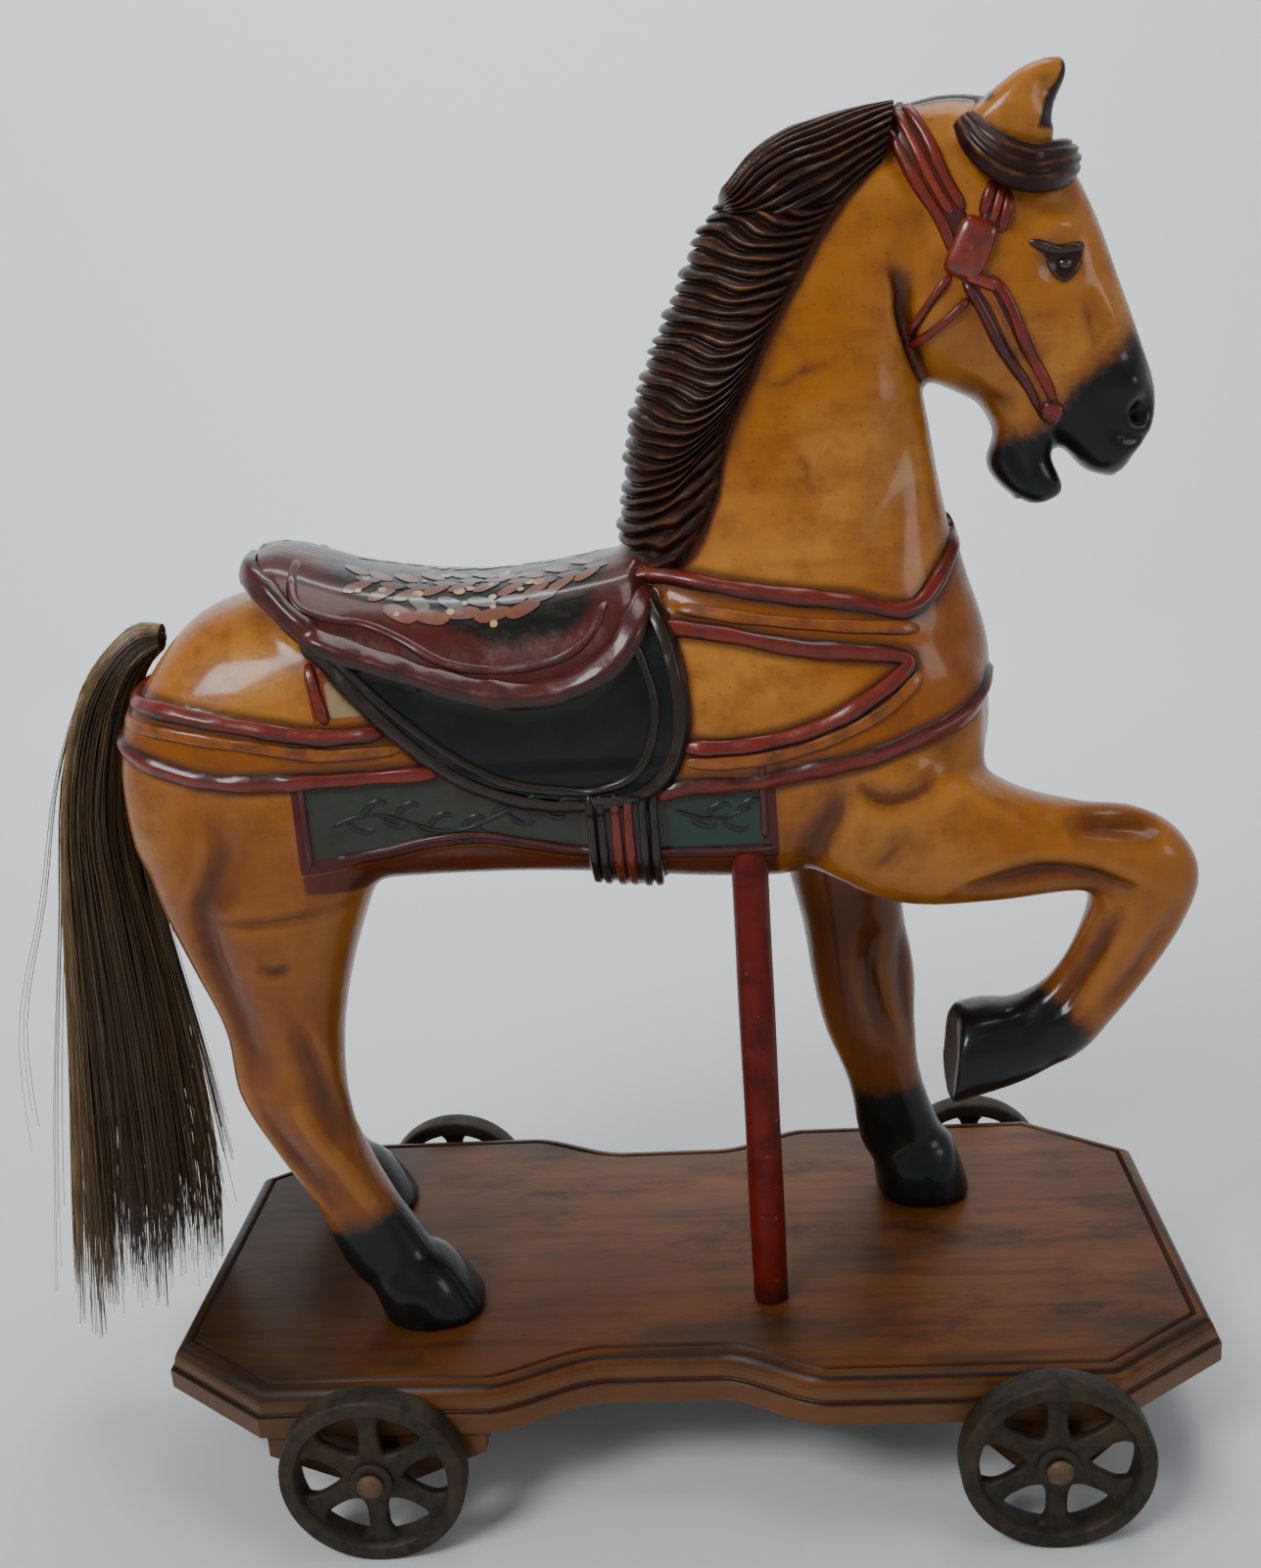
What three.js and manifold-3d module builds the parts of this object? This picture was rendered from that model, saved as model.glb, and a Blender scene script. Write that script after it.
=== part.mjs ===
// A carved and painted wooden horse on a shaped platform with four cast-iron wheels.
// Millimetres. +Z is up, +X is where the horse looks, -Y is the side of the raised foreleg.
// Heights count from the ground, lengths from the middle of the platform.
import * as THREE from 'three';
import { mergeVertices } from 'three/addons/utils/BufferGeometryUtils.js';
import Module from 'manifold-3d';

// Driving dimensions.
const GAP = 0.3;
const WHEEL = {
  radius: 38, inner: 31, width: 12, outerFace: 117, hub: 10, sides: 20, hubSides: 8,
  spokes: 6, spokeWidth: 6, spokeDepth: 5, spokeRoot: 1.5, play: 0.6,
};
const AXLE = {
  radius: 4, headRadius: 5.5, headDepth: 3, headGap: 1.5, domeRadius: 4.4, domeDepth: 1.8, sides: 10,
};
const AXLE_X = { rear: -126, front: 146 };
const BOLSTER = { rearHalf: 45, frontHalf: 27, footHalf: 14, halfWidth: 102, low: 27, shoulder: 40 };
const BOARD = {
  low: 50, top: 70, fascia: 10, halfLength: 221, halfEnd: 70, chamfer: 48,
  halfWidth: 104, halfWaist: 87, waist: [-81, -31, 14, 59],
  ovolo: 4, step: 1.5, lap: 3, grooveInset: 9, grooveWidth: 2.4, grooveDepth: 1.5,
  waistSteps: 4, ovoloSteps: 2,
};
const POLE = { radius: 7.5, x: 38, y: -45, into: 8, top: 277, sides: 16 };
const CARVING = {
  strap: 2.4, bead: 3.4, beadWidth: 6, skirt: 4, skirtRim: 6.5,
  rim: 2.6, rimWidth: 9, blanket: 1.6, frame: 3.2, girth: 3.8,
};
const MANE = { locks: 15, lockDepth: 3, flutes: 16, fluteDepth: 2.6, degrees: [0, 30, 60, 90, 140] };
const FRINGE = { across: 7, deep: 6, steps: 5, sectionSteps: 3 };

// How many sides the section of each body has, and how many steps a smooth outline takes.
const SIDES = { trunk: 12, head: 12, jaw: 8, limb: 10, ear: 6, tail: 10 };
const STEPS = { seat: 7, skirt: 8, blanket: 6, mane: 4 };
// A rounded end closes on a smaller ring part of the way out to its tip.
const END_RING = { scale: 0.72, out: 0.7 };
// Outlines are cut through the horse between these y values, wider than any part of it.
const CUT = { near: -90, far: 90 };
// Corners closer than this are one corner.
const WELD = 1e-4;

// A station is one cross-section of a limb seen from the side:
// [x, z] of its upper or front edge, [x, z] of its lower or rear edge, half width, middle in y.
const TORSO = [
  [-215, 320, -215, 292, 24, 0],
  [-210, 338, -210, 272, 42, 0],
  [-198, 357, -198, 261, 51, 0],
  [-178, 376, -178, 256, 55, 0],
  [-130, 384, -130, 262, 55, 0],
  [-50, 378, -50, 263, 54, 0],
  [40, 384, 40, 256, 54, 0],
  [84, 380, 84, 258, 51, 0],
  [112, 370, 112, 268, 44, 0],
  [129, 350, 130, 284, 33, 0],
  [135, 334, 135, 304, 20, 0],
];
const TRUNK_SQUARE = [2.5, 4];
const SEAT = [
  [-163, 391, -163, 258, 50, 0],
  [-148, 400, -148, 258, 60, 0],
  [-110, 389, -110, 260, 61, 0],
  [-60, 383, -60, 260, 61, 0],
  [2, 390, 2, 258, 61, 0],
];
const NECK = [
  [-12, 362, 134, 300, 48, 0],
  [-6, 388, 137, 342, 43, 0],
  [-1, 412, 128, 374, 38, 0],
  [5, 438, 121, 402, 34, 0],
  [16, 466, 116, 432, 30, 0],
  [34, 494, 112, 456, 27, 0],
  [60, 520, 114, 476, 24, 0],
  [90, 537, 120, 492, 21, 0],
];
const HEAD = [
  [104, 545, 98, 494, 17, 0],
  [124, 548, 104, 463, 21, 0],
  [146, 544, 111, 449, 24, 0],
  [163, 530, 121, 444, 25, 0],
  [177, 506, 133, 438, 24, 0],
  [187, 481, 146, 431, 20, 0],
  [196, 457, 158, 424, 17, 0],
  [202, 437, 168, 417, 16, 0],
  [201, 424, 177, 408, 15, 0],
  [194, 414, 184, 406, 10, 0],
];
const JAW = [
  [152, 447, 118, 452, 19, 0],
  [158, 433, 134, 438, 16, 0],
  [163, 423, 141, 425, 13, 0],
  [163, 415, 138, 414, 12, 0],
  [166, 408, 145, 403, 12, 0],
  [168, 403, 154, 397, 10, 0],
];
const HIND_LEG = [
  [-96, 318, -196, 338, 26, 26],
  [-103, 290, -208, 304, 29, 29],
  [-118, 256, -206, 270, 28, 32],
  [-128, 228, -194, 236, 23, 37],
  [-134, 200, -183, 206, 18, 41],
  [-135, 174, -181, 178, 16, 43],
  [-130, 148, -168, 149, 14, 44],
  [-120, 124, -154, 122, 13, 44],
  [-110, 106, -146, 98, 14, 44],
  [-104, 94, -138, 86, 15, 44],
];
const HIND_HOOF = [
  [-103, 98, -137, 92, 15, 44],
  [-96, 90, -134, 84, 19, 44],
  [-85, 0, -130, 0, 22, 44],
];
const FAR_STRIDE = -46;
const FAR_OFFSET = -3;
const STANDING_LEG = [
  [120, 300, 46, 300, 28, 27],
  [114, 268, 50, 268, 26, 30],
  [106, 238, 55, 238, 22, 34],
  [107, 210, 61, 208, 18, 37],
  [111, 184, 64, 182, 16, 39],
  [111, 158, 69, 156, 14, 39],
  [113, 132, 79, 128, 13, 39],
  [121, 106, 84, 98, 14, 39],
  [127, 94, 89, 88, 15, 39],
];
const STANDING_HOOF = [
  [127, 98, 89, 93, 16, 39],
  [130, 88, 90, 86, 19, 39],
  [135, 0, 91, 0, 22, 39],
];
const RAISED_LEG = [
  [98, 332, 44, 304, 22, 26],
  [122, 305, 58, 266, 26, 28],
  [146, 290, 94, 247, 24, 34],
  [168, 285, 132, 247, 20, 39],
  [188, 283, 158, 250, 18, 41],
  [204, 274, 170, 250, 18, 42],
  [213, 257, 171, 245, 17, 42],
  [208, 237, 167, 233, 15, 42],
  [195, 214, 160, 219, 13, 42],
  [181, 195, 152, 209, 13, 42],
  [169, 181, 143, 204, 14, 42],
  [155, 175, 135, 202, 15, 42],
];
const RAISED_HOOF = [
  [158, 176, 136, 203, 15, 42],
  [145, 170, 129, 203, 18, 42],
  [114, 161, 118, 200, 21, 42],
];
const EAR = [
  [160, 524, 126, 534, 9, 15],
  [161, 535, 134, 542, 10, 16],
  [163, 543, 143, 550, 8.5, 17],
  [166, 549, 153, 555, 5.5, 18],
  [166, 552, 161, 556, 2.5, 18],
];
const LOCKS = [
  [40, 516, 128, 514, 27, 0],
  [22, 490, 124, 494, 31, 0],
  [9, 461, 122, 468, 35, 0],
  [0, 434, 124, 440, 39, 0],
  [-6, 410, 128, 412, 43, 0],
  [-9, 388, 132, 386, 48, 0],
  [-2, 370, 134, 362, 51, 0],
];
const TUFT = [
  [101, 544, 112, 506, 20, 0],
  [85, 541, 104, 496, 25, 0],
  [66, 537, 96, 484, 28, 0],
  [50, 526, 88, 472, 30, 0],
  [38, 510, 78, 460, 31, 0],
  [31, 496, 70, 452, 29, 0],
];
const TAIL = [
  [-191, 358, -194, 347, 6, 0],
  [-206, 363, -209, 350, 7, 0],
  [-216, 364, -218, 346, 10, 0],
  [-232, 351, -224, 334, 15, 0],
  [-246, 328, -228, 312, 18, 0],
  [-254, 298, -229, 284, 20, 0],
  [-260, 254, -228, 246, 21, 0],
  [-270, 196, -227, 190, 22, 0],
  [-280, 130, -228, 130, 24, 0],
  [-287, 80, -229, 80, 25, 0],
  [-290, 40, -234, 44, 23, 0],
];

// Outlines seen from the side, as [x, z] points that a smooth curve joins.
const SEAT_EDGE = [
  [-158, 396], [-144, 387], [-126, 371], [-91, 357], [-56, 346], [-30, 346], [-8, 357], [5, 379],
];
const SEAT_ABOVE = [[12, 430], [-175, 430]];
const LOCKS_FRONT = [[64, 497], [51, 470], [38, 432], [27, 401], [16, 372]];
const LOCKS_BACK = [[0, 366], [-30, 380], [-30, 440], [-10, 510], [50, 540]];
const TUFT_FRONT = [[112, 546], [99, 528], [84, 509], [68, 490], [58, 478]];
const TUFT_BACK = [[40, 470], [10, 480], [20, 560], [100, 570]];
const SKIRT_EDGE = [
  [-126, 368], [-103, 341], [-76, 315], [-50, 302], [-20, 299], [5, 306], [16, 325], [14, 352], [4, 378],
];
const BLANKET_EDGE = [
  [-138, 276], [-112, 275], [-86, 279], [-62, 278], [-40, 273], [-10, 271], [20, 272], [45, 271],
];
const BLANKET = { left: -138, right: 45, top: 312 };
const GIRTH = { left: -24, right: 3, top: 306, low: 250 };
const COLLAR_TOP = [[2, 382], [37, 378], [66, 371], [100, 364], [113, 369], [126, 388]];
const COLLAR_INNER = [[8, 365], [41, 360], [73, 354], [97, 346], [86, 331], [60, 321], [15, 318]];
const COLLAR_LOW = [[4, 301], [27, 306], [66, 308], [99, 316], [120, 317], [142, 330]];
const BREECHING_TOP = [[-226, 350], [-205, 346], [-187, 345], [-153, 338], [-110, 331], [-84, 333]];
const BREECHING_LOW = [[-226, 336], [-208, 329], [-195, 325], [-166, 317], [-126, 314], [-70, 315]];
const PANEL_EDGE = [[-129, 362], [-124, 336]];
const STRAP_WIDTH = { cheek: 16, brow: 9, throat: 13 };
const CHEEK_STRAP = [[105, 548], [113, 528], [129, 493], [146, 458], [160, 425]];
const BROW_STRAP = [[127, 500], [141, 515], [152, 524]];
const THROAT_STRAP = [[131, 482], [115, 462], [103, 449]];
const ROSETTE = { x: 129, z: 494, across: 11, along: 16, tilt: 0.4, proud: 5, points: 9 };
const BIT_BOSS = { x: 161, z: 423, across: 6, along: 6, tilt: 0, proud: 4, points: 7 };
const FORELOCK = [[131, -22, 535], [138, -25, 524], [151, -25, 517], [162, -16, 519], [166, 0, 523]];
const EYE = { x: 161, z: 486, y: 20, radius: 6 };

const HORSE_WOOD = new THREE.MeshStandardMaterial({ color: 0xa5682a, roughness: 0.3, metalness: 0 });
const TAIL_HAIR = new THREE.MeshStandardMaterial({ color: 0x4a3a26, roughness: 0.7, metalness: 0 });
const POLE_PAINT = new THREE.MeshStandardMaterial({ color: 0x7c1c16, roughness: 0.45, metalness: 0 });
const BOARD_WOOD = new THREE.MeshStandardMaterial({ color: 0x70401c, roughness: 0.4, metalness: 0 });
const CAST_IRON = new THREE.MeshStandardMaterial({ color: 0x3b322c, roughness: 0.6, metalness: 0.7 });

const wasm = await Module();
wasm.setup();

// A closed geometry as a solid that can be joined and cut.
function toSolid(geometry) {
  const bare = geometry.clone();
  bare.deleteAttribute('normal');
  bare.deleteAttribute('uv');
  const merged = mergeVertices(bare, WELD);
  return new wasm.Manifold(new wasm.Mesh({
    numProp: 3,
    vertProperties: new Float32Array(merged.attributes.position.array),
    triVerts: new Uint32Array(merged.index.array),
  }));
}

// A solid as a geometry with flat faces.
function toGeometry(solid) {
  const mesh = solid.getMesh();
  const shared = new THREE.BufferGeometry();
  shared.setAttribute('position', new THREE.BufferAttribute(new Float32Array(mesh.vertProperties), 3));
  shared.setIndex(new THREE.BufferAttribute(new Uint32Array(mesh.triVerts), 1));
  const flat = shared.toNonIndexed();
  flat.computeVertexNormals();
  return flat;
}

function joined(solids) {
  return solids.reduce((sum, solid) => sum.add(solid));
}

// The cosine or sine of a superellipse: 2 gives an ellipse, more gives a squarer section.
function squared(value, square) {
  return Math.sign(value) * Math.abs(value) ** (2 / square);
}

function corner([x, z]) {
  return new THREE.Vector2(x, z);
}

function evenTurns(sides) {
  return Array.from({ length: sides }, (_, i) => (2 * Math.PI * i) / sides);
}

// A closed body through the stations, with smooth curves from one to the next.
// grow(ring, turn) is how far the skin stands out there, square shapes its upper and lower
// half, dome rounds the two ends, and side -1 puts it on the right.
function loft(stations, options) {
  const { turns, rings = stations.length - 1, square = [2.4, 2.4], dome = 3, side = 1 } = options;
  const grow = options.grow ?? (() => 0);
  const throughPoints = (pick) => new THREE.CatmullRomCurve3(stations.map((station) => pick(...station)));
  const upper = throughPoints((ax, az, bx, bz, half) => new THREE.Vector3(ax, half, az));
  const lower = throughPoints((ax, az, bx, bz, half, y) => new THREE.Vector3(bx, y, bz));
  const points = [];
  const middles = [];
  for (let ring = 0; ring <= rings; ring += 1) {
    const a = upper.getPoint(ring / rings);
    const b = lower.getPoint(ring / rings);
    const middle = new THREE.Vector3((a.x + b.x) / 2, side * b.y, (a.z + b.z) / 2);
    const along = new THREE.Vector3((a.x - b.x) / 2, 0, (a.z - b.z) / 2);
    middles.push({ middle, along, half: a.y });
  }
  const ringAt = ({ middle, along, half }, ring, scale) => turns.map((turn) => {
    const out = grow(ring, turn);
    const depth = along.length() + out;
    const power = Math.cos(turn) > 0 ? square[0] : square[1];
    const reach = along.clone().normalize().multiplyScalar(scale * depth * squared(Math.cos(turn), power));
    const across = scale * (half + out) * squared(Math.sin(turn), power);
    return middle.clone().add(reach).add(new THREE.Vector3(0, across, 0));
  });
  const endRings = (ring, next) => {
    const end = middles[ring];
    const outward = end.middle.clone().sub(middles[next].middle).normalize();
    const swell = dome + Math.max(0, grow(ring, 0));
    const shoulder = end.middle.clone().addScaledVector(outward, END_RING.out * swell);
    const tip = end.middle.clone().addScaledVector(outward, swell);
    return { round: ringAt({ ...end, middle: shoulder }, ring, END_RING.scale), tip };
  };
  const first = endRings(0, 1);
  const last = endRings(rings, rings - 1);
  points.push(first.round);
  middles.forEach((section, ring) => points.push(ringAt(section, ring, 1)));
  points.push(last.round);
  const corners = points.flat();
  const count = turns.length;
  const faces = [];
  for (let ring = 0; ring < points.length - 1; ring += 1) {
    for (let i = 0; i < count; i += 1) {
      const here = ring * count + i;
      const beside = ring * count + ((i + 1) % count);
      faces.push([here, beside, here + count], [beside, beside + count, here + count]);
    }
  }
  const firstTip = corners.push(first.tip) - 1;
  const lastTip = corners.push(last.tip) - 1;
  const lastRing = (points.length - 1) * count;
  for (let i = 0; i < count; i += 1) {
    faces.push([(i + 1) % count, i, firstTip], [lastRing + i, lastRing + ((i + 1) % count), lastTip]);
  }
  return toSolid(facesOut(corners, faces));
}

// The geometry of a closed body, with its faces turned outwards.
function facesOut(corners, faces) {
  const wedge = ([a, b, c]) => corners[a].clone().cross(corners[b]).dot(corners[c]);
  const volume = faces.reduce((sum, face) => sum + wedge(face), 0);
  const turned = volume < 0 ? faces.map(([a, b, c]) => [a, c, b]) : faces;
  const geometry = new THREE.BufferGeometry().setFromPoints(corners);
  geometry.setIndex(turned.flat());
  return geometry;
}

// Points along a smooth curve through [x, z] points.
function smooth(points, divisions) {
  return new THREE.SplineCurve(points.map(corner)).getPoints(divisions);
}

// A side-view outline pushed right through the horse in y.
function prism(outline, nearY = CUT.near, farY = CUT.far) {
  const options = { depth: farY - nearY, bevelEnabled: false };
  const geometry = new THREE.ExtrudeGeometry(new THREE.Shape(outline), options);
  geometry.rotateX(Math.PI / 2);
  geometry.translate(0, farY, 0);
  return toSolid(geometry);
}

// The outline of a band of even width along a smooth curve.
function band(points, width, divisions) {
  const middle = smooth(points, divisions);
  const edge = (sign) => middle.map((point, i) => {
    const before = middle[Math.max(0, i - 1)];
    const after = middle[Math.min(middle.length - 1, i + 1)];
    const along = after.clone().sub(before).setLength((sign * width) / 2);
    return new THREE.Vector2(point.x - along.y, point.y + along.x);
  });
  return [...edge(1), ...edge(-1).reverse()];
}

function mesh(name, geometry, material) {
  const piece = new THREE.Mesh(geometry, material);
  piece.name = name;
  return piece;
}

// The pole between two heights, or the hole for it with some room around.
function poleRod(room, low, top) {
  const radius = POLE.radius + room;
  const geometry = new THREE.CylinderGeometry(radius, radius, top - low, POLE.sides);
  geometry.rotateX(Math.PI / 2);
  geometry.translate(POLE.x, POLE.y, (low + top) / 2);
  return toSolid(geometry);
}

// The trunk and neck, with the whole skin standing out by the given distance.
function trunk(out = 0) {
  return loft(TORSO, { grow: () => out, square: TRUNK_SQUARE, turns: evenTurns(SIDES.trunk) });
}

function neck(out = 0) {
  return loft(NECK, { grow: () => out, turns: evenTurns(SIDES.trunk) });
}

function head(out = 0) {
  const grow = () => out;
  const skull = loft(HEAD, { grow, turns: evenTurns(SIDES.head) });
  return skull.add(loft(JAW, { grow, turns: evenTurns(SIDES.jaw) }));
}

// The left hind leg is the right one with its foot set further back.
function farHindLeg(stations) {
  const high = HIND_LEG[0][1];
  const low = HIND_LEG.at(-1)[1];
  return stations.map(([ax, az, bx, bz, half, y]) => {
    const share = Math.min(1, Math.max(0, (high - (az + bz) / 2) / (high - low)));
    const shift = FAR_STRIDE * share * share * (3 - 2 * share);
    return [ax + shift, az, bx + shift, bz, half, y + FAR_OFFSET * share];
  });
}

function limbs() {
  const turns = evenTurns(SIDES.limb);
  return [
    loft(HIND_LEG, { side: -1, turns }),
    loft(farHindLeg(HIND_LEG), { turns }),
    loft(STANDING_LEG, { turns }),
    loft(RAISED_LEG, { side: -1, turns }),
  ];
}

// A hoof stands flat on the board, so its lowest station is given the board's height.
function standingHoof(stations, side) {
  const sole = BOARD.top + GAP;
  const placed = stations.map(([ax, az, bx, bz, half, y]) => [ax, az || sole, bx, bz || sole, half, y]);
  return loft(placed, { side, turns: evenTurns(SIDES.limb), dome: 0 });
}

function hooves() {
  return [
    standingHoof(HIND_HOOF, -1),
    standingHoof(farHindLeg(HIND_HOOF), 1),
    standingHoof(STANDING_HOOF, 1),
    loft(RAISED_HOOF, { side: -1, turns: evenTurns(SIDES.limb), dome: 0 }),
  ];
}

function maneLocks() {
  const [, ...right] = MANE.degrees;
  const turns = [...right.map((angle) => -angle).reverse(), ...MANE.degrees].map(THREE.MathUtils.degToRad);
  const grow = (ring) => (ring % 2 ? MANE.lockDepth : 0);
  const locks = loft(LOCKS, { rings: 2 * MANE.locks, turns, grow, dome: 0 });
  return locks.intersect(prism([...smooth(LOCKS_FRONT, STEPS.mane), ...smooth(LOCKS_BACK, STEPS.mane)]));
}

function maneTuft() {
  const step = (2 * Math.PI) / MANE.flutes;
  const grow = (ring, turn) => (Math.round(turn / step) % 2 ? MANE.fluteDepth : 0);
  const tuft = loft(TUFT, { turns: evenTurns(MANE.flutes), grow });
  return tuft.intersect(prism([...smooth(TUFT_FRONT, STEPS.mane), ...smooth(TUFT_BACK, STEPS.mane)]));
}

function forelock(side) {
  const route = new THREE.CatmullRomCurve3(FORELOCK.map(([x, y, z]) => new THREE.Vector3(x, -side * y, z)));
  const section = new THREE.Shape().absellipse(0, 0, FRINGE.across, FRINGE.deep, 0, 2 * Math.PI);
  const options = { steps: FRINGE.steps, curveSegments: FRINGE.sectionSteps, extrudePath: route };
  return toSolid(new THREE.ExtrudeGeometry(section, options));
}

function eye(side) {
  const ball = new THREE.IcosahedronGeometry(EYE.radius, 0);
  ball.translate(EYE.x, side * EYE.y, EYE.z);
  return toSolid(ball);
}

// The seat rises from the back to a cantle behind and a pommel in front.
function seatShell(out) {
  return loft(SEAT, { square: TRUNK_SQUARE, turns: evenTurns(SIDES.trunk), grow: () => out, dome: 2 });
}

function saddle() {
  const { rim, rimWidth, skirt, skirtRim, beadWidth } = CARVING;
  return [
    seatShell(0).intersect(prism([...smooth(SEAT_EDGE, STEPS.seat), ...SEAT_ABOVE.map(corner)])),
    seatShell(rim).intersect(prism(band(SEAT_EDGE, rimWidth, STEPS.seat))),
    trunk(skirt).intersect(prism(smooth(SKIRT_EDGE, STEPS.skirt))),
    trunk(skirtRim).intersect(prism(band(SKIRT_EDGE, beadWidth, STEPS.skirt))),
  ];
}

function rectangle(left, right, low, top) {
  return [[left, low], [right, low], [right, top], [left, top]].map(corner);
}

function blanket() {
  const { left, right, top } = BLANKET;
  const half = CARVING.beadWidth / 2;
  const ends = [[right, top], [left, top]].map(corner);
  const frameLines = [
    BLANKET_EDGE.map(([x, z]) => [x, z + half]),
    [[left + half, BLANKET_EDGE[0][1]], [left + half, top]],
    [[right - half, BLANKET_EDGE.at(-1)[1]], [right - half, top]],
  ];
  const frames = frameLines.map((line) => prism(band(line, CARVING.beadWidth, line.length - 1)));
  return [
    trunk(CARVING.blanket).intersect(prism([...smooth(BLANKET_EDGE, STEPS.blanket), ...ends])),
    trunk(CARVING.frame).intersect(joined(frames)),
    trunk(CARVING.girth).intersect(prism(rectangle(GIRTH.left, GIRTH.right, GIRTH.low, GIRTH.top))),
  ];
}

function harness() {
  const raised = (shell, lines, width) => shell.intersect(
    joined(lines.map((line) => prism(band(line, width, line.length - 1)))),
  );
  const { bead, beadWidth, strap } = CARVING;
  return [
    raised(trunk(bead), [COLLAR_INNER, COLLAR_LOW, BREECHING_TOP, BREECHING_LOW, PANEL_EDGE], beadWidth),
    raised(trunk(bead).add(neck(bead)), [COLLAR_TOP], beadWidth),
    raised(head(strap), [CHEEK_STRAP], STRAP_WIDTH.cheek),
    raised(head(strap), [BROW_STRAP], STRAP_WIDTH.brow),
    raised(head(strap), [THROAT_STRAP], STRAP_WIDTH.throat),
    head(ROSETTE.proud).intersect(prism(oval(ROSETTE))),
    head(BIT_BOSS.proud).intersect(prism(oval(BIT_BOSS))),
  ];
}

function oval({ x, z, across, along, tilt, points }) {
  const curve = new THREE.EllipseCurve(x, z, across, along, 0, 2 * Math.PI, false, tilt);
  return curve.getPoints(points).slice(0, -1);
}

function horse() {
  const whole = joined([
    trunk(), neck(), head(), ...limbs(), ...hooves(), maneLocks(), maneTuft(),
    ...[-1, 1].map((side) => loft(EAR, { side, turns: evenTurns(SIDES.ear), dome: 1 })),
    forelock(-1), forelock(1), eye(-1), eye(1),
    ...saddle(), ...blanket(), ...harness(),
  ]);
  const poleHole = poleRod(GAP, BOARD.top, POLE.top + GAP);
  return mesh('horse', toGeometry(whole.subtract(poleHole).subtract(tailHair(GAP))), HORSE_WOOD);
}

// The bundle of hair, whose root sits in a socket of the rump.
function tailHair(out = 0) {
  return loft(TAIL, { grow: () => out, turns: evenTurns(SIDES.tail), square: [2, 2], dome: 2 });
}

function boardOutline() {
  const { halfLength, halfEnd, chamfer, halfWidth, halfWaist, waist } = BOARD;
  const [rearOuter, rearInner, frontInner, frontOuter] = waist;
  const shape = new THREE.Shape();
  const side = (sign, from, to) => {
    const [a, b, c, d] = sign < 0 ? waist : [frontOuter, frontInner, rearInner, rearOuter];
    shape.lineTo(from, sign * halfWidth);
    shape.lineTo(a, sign * halfWidth);
    shape.bezierCurveTo((a + b) / 2, sign * halfWidth, (a + b) / 2, sign * halfWaist, b, sign * halfWaist);
    shape.lineTo(c, sign * halfWaist);
    shape.bezierCurveTo((c + d) / 2, sign * halfWaist, (c + d) / 2, sign * halfWidth, d, sign * halfWidth);
    shape.lineTo(to, sign * halfWidth);
  };
  shape.moveTo(-halfLength, -halfEnd);
  side(-1, -halfLength + chamfer, halfLength - chamfer);
  shape.lineTo(halfLength, -halfEnd);
  shape.lineTo(halfLength, halfEnd);
  side(1, halfLength - chamfer, -halfLength + chamfer);
  shape.lineTo(-halfLength, halfEnd);
  shape.closePath();
  return shape;
}

// A slab of the board's outline, drawn in by inset, with its upper edge rounded over.
function slab(low, top, inset, round = 0) {
  const geometry = new THREE.ExtrudeGeometry(boardOutline(), {
    depth: top - low - 2 * round,
    curveSegments: BOARD.waistSteps,
    bevelEnabled: inset > 0,
    bevelThickness: round,
    bevelSize: round,
    bevelOffset: -inset - round,
    bevelSegments: BOARD.ovoloSteps,
  });
  geometry.translate(0, 0, low + round);
  return toSolid(geometry);
}

function platform() {
  const { low, top, fascia, ovolo, step, lap, grooveInset, grooveWidth, grooveDepth } = BOARD;
  const moulded = slab(low, low + fascia, 0).add(slab(low + lap, top, step, ovolo));
  const groove = slab(top - grooveDepth, top + lap, grooveInset)
    .subtract(slab(top - grooveDepth - lap, top + 2 * lap, grooveInset + grooveWidth));
  const poleHole = poleRod(GAP, top - POLE.into, top + lap);
  return mesh('platform', toGeometry(moulded.subtract(groove).subtract(poleHole)), BOARD_WOOD);
}

function bolster(name, x, half) {
  const { footHalf, halfWidth, low, shoulder } = BOLSTER;
  const top = BOARD.low - GAP;
  const rightHalf = [[footHalf, low], [half, shoulder], [half, top]];
  const leftHalf = rightHalf.map(([dx, z]) => [-dx, z]).reverse();
  const outline = [...leftHalf, ...rightHalf].map(([dx, z]) => corner([x + dx, z]));
  const block = prism(outline, -halfWidth, halfWidth);
  const bore = AXLE.radius + GAP;
  const past = halfWidth + 1;
  const hole = turned([[0, -past], [bore, -past], [bore, past], [0, past]], x, AXLE.sides);
  return mesh(name, toGeometry(block.subtract(hole)), BOARD_WOOD);
}

// A turned profile of [radius, y] points about the axle line.
function turned(profile, x, sides) {
  const geometry = new THREE.LatheGeometry(profile.map(corner), sides, Math.PI / sides);
  geometry.translate(x, 0, WHEEL.radius);
  return toSolid(geometry);
}

function axle(name, x) {
  const { radius, headRadius, headDepth, headGap, domeRadius, domeDepth, sides } = AXLE;
  const end = WHEEL.outerFace + headGap;
  const dome = [[0, end + headDepth], [domeRadius, end + domeDepth], [headRadius, end]];
  const half = [...dome, [radius, end]];
  const profile = [...half.map(([r, y]) => [r, -y]), ...half.reverse()];
  return mesh(name, toGeometry(turned(profile, x, sides)), CAST_IRON);
}

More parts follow.
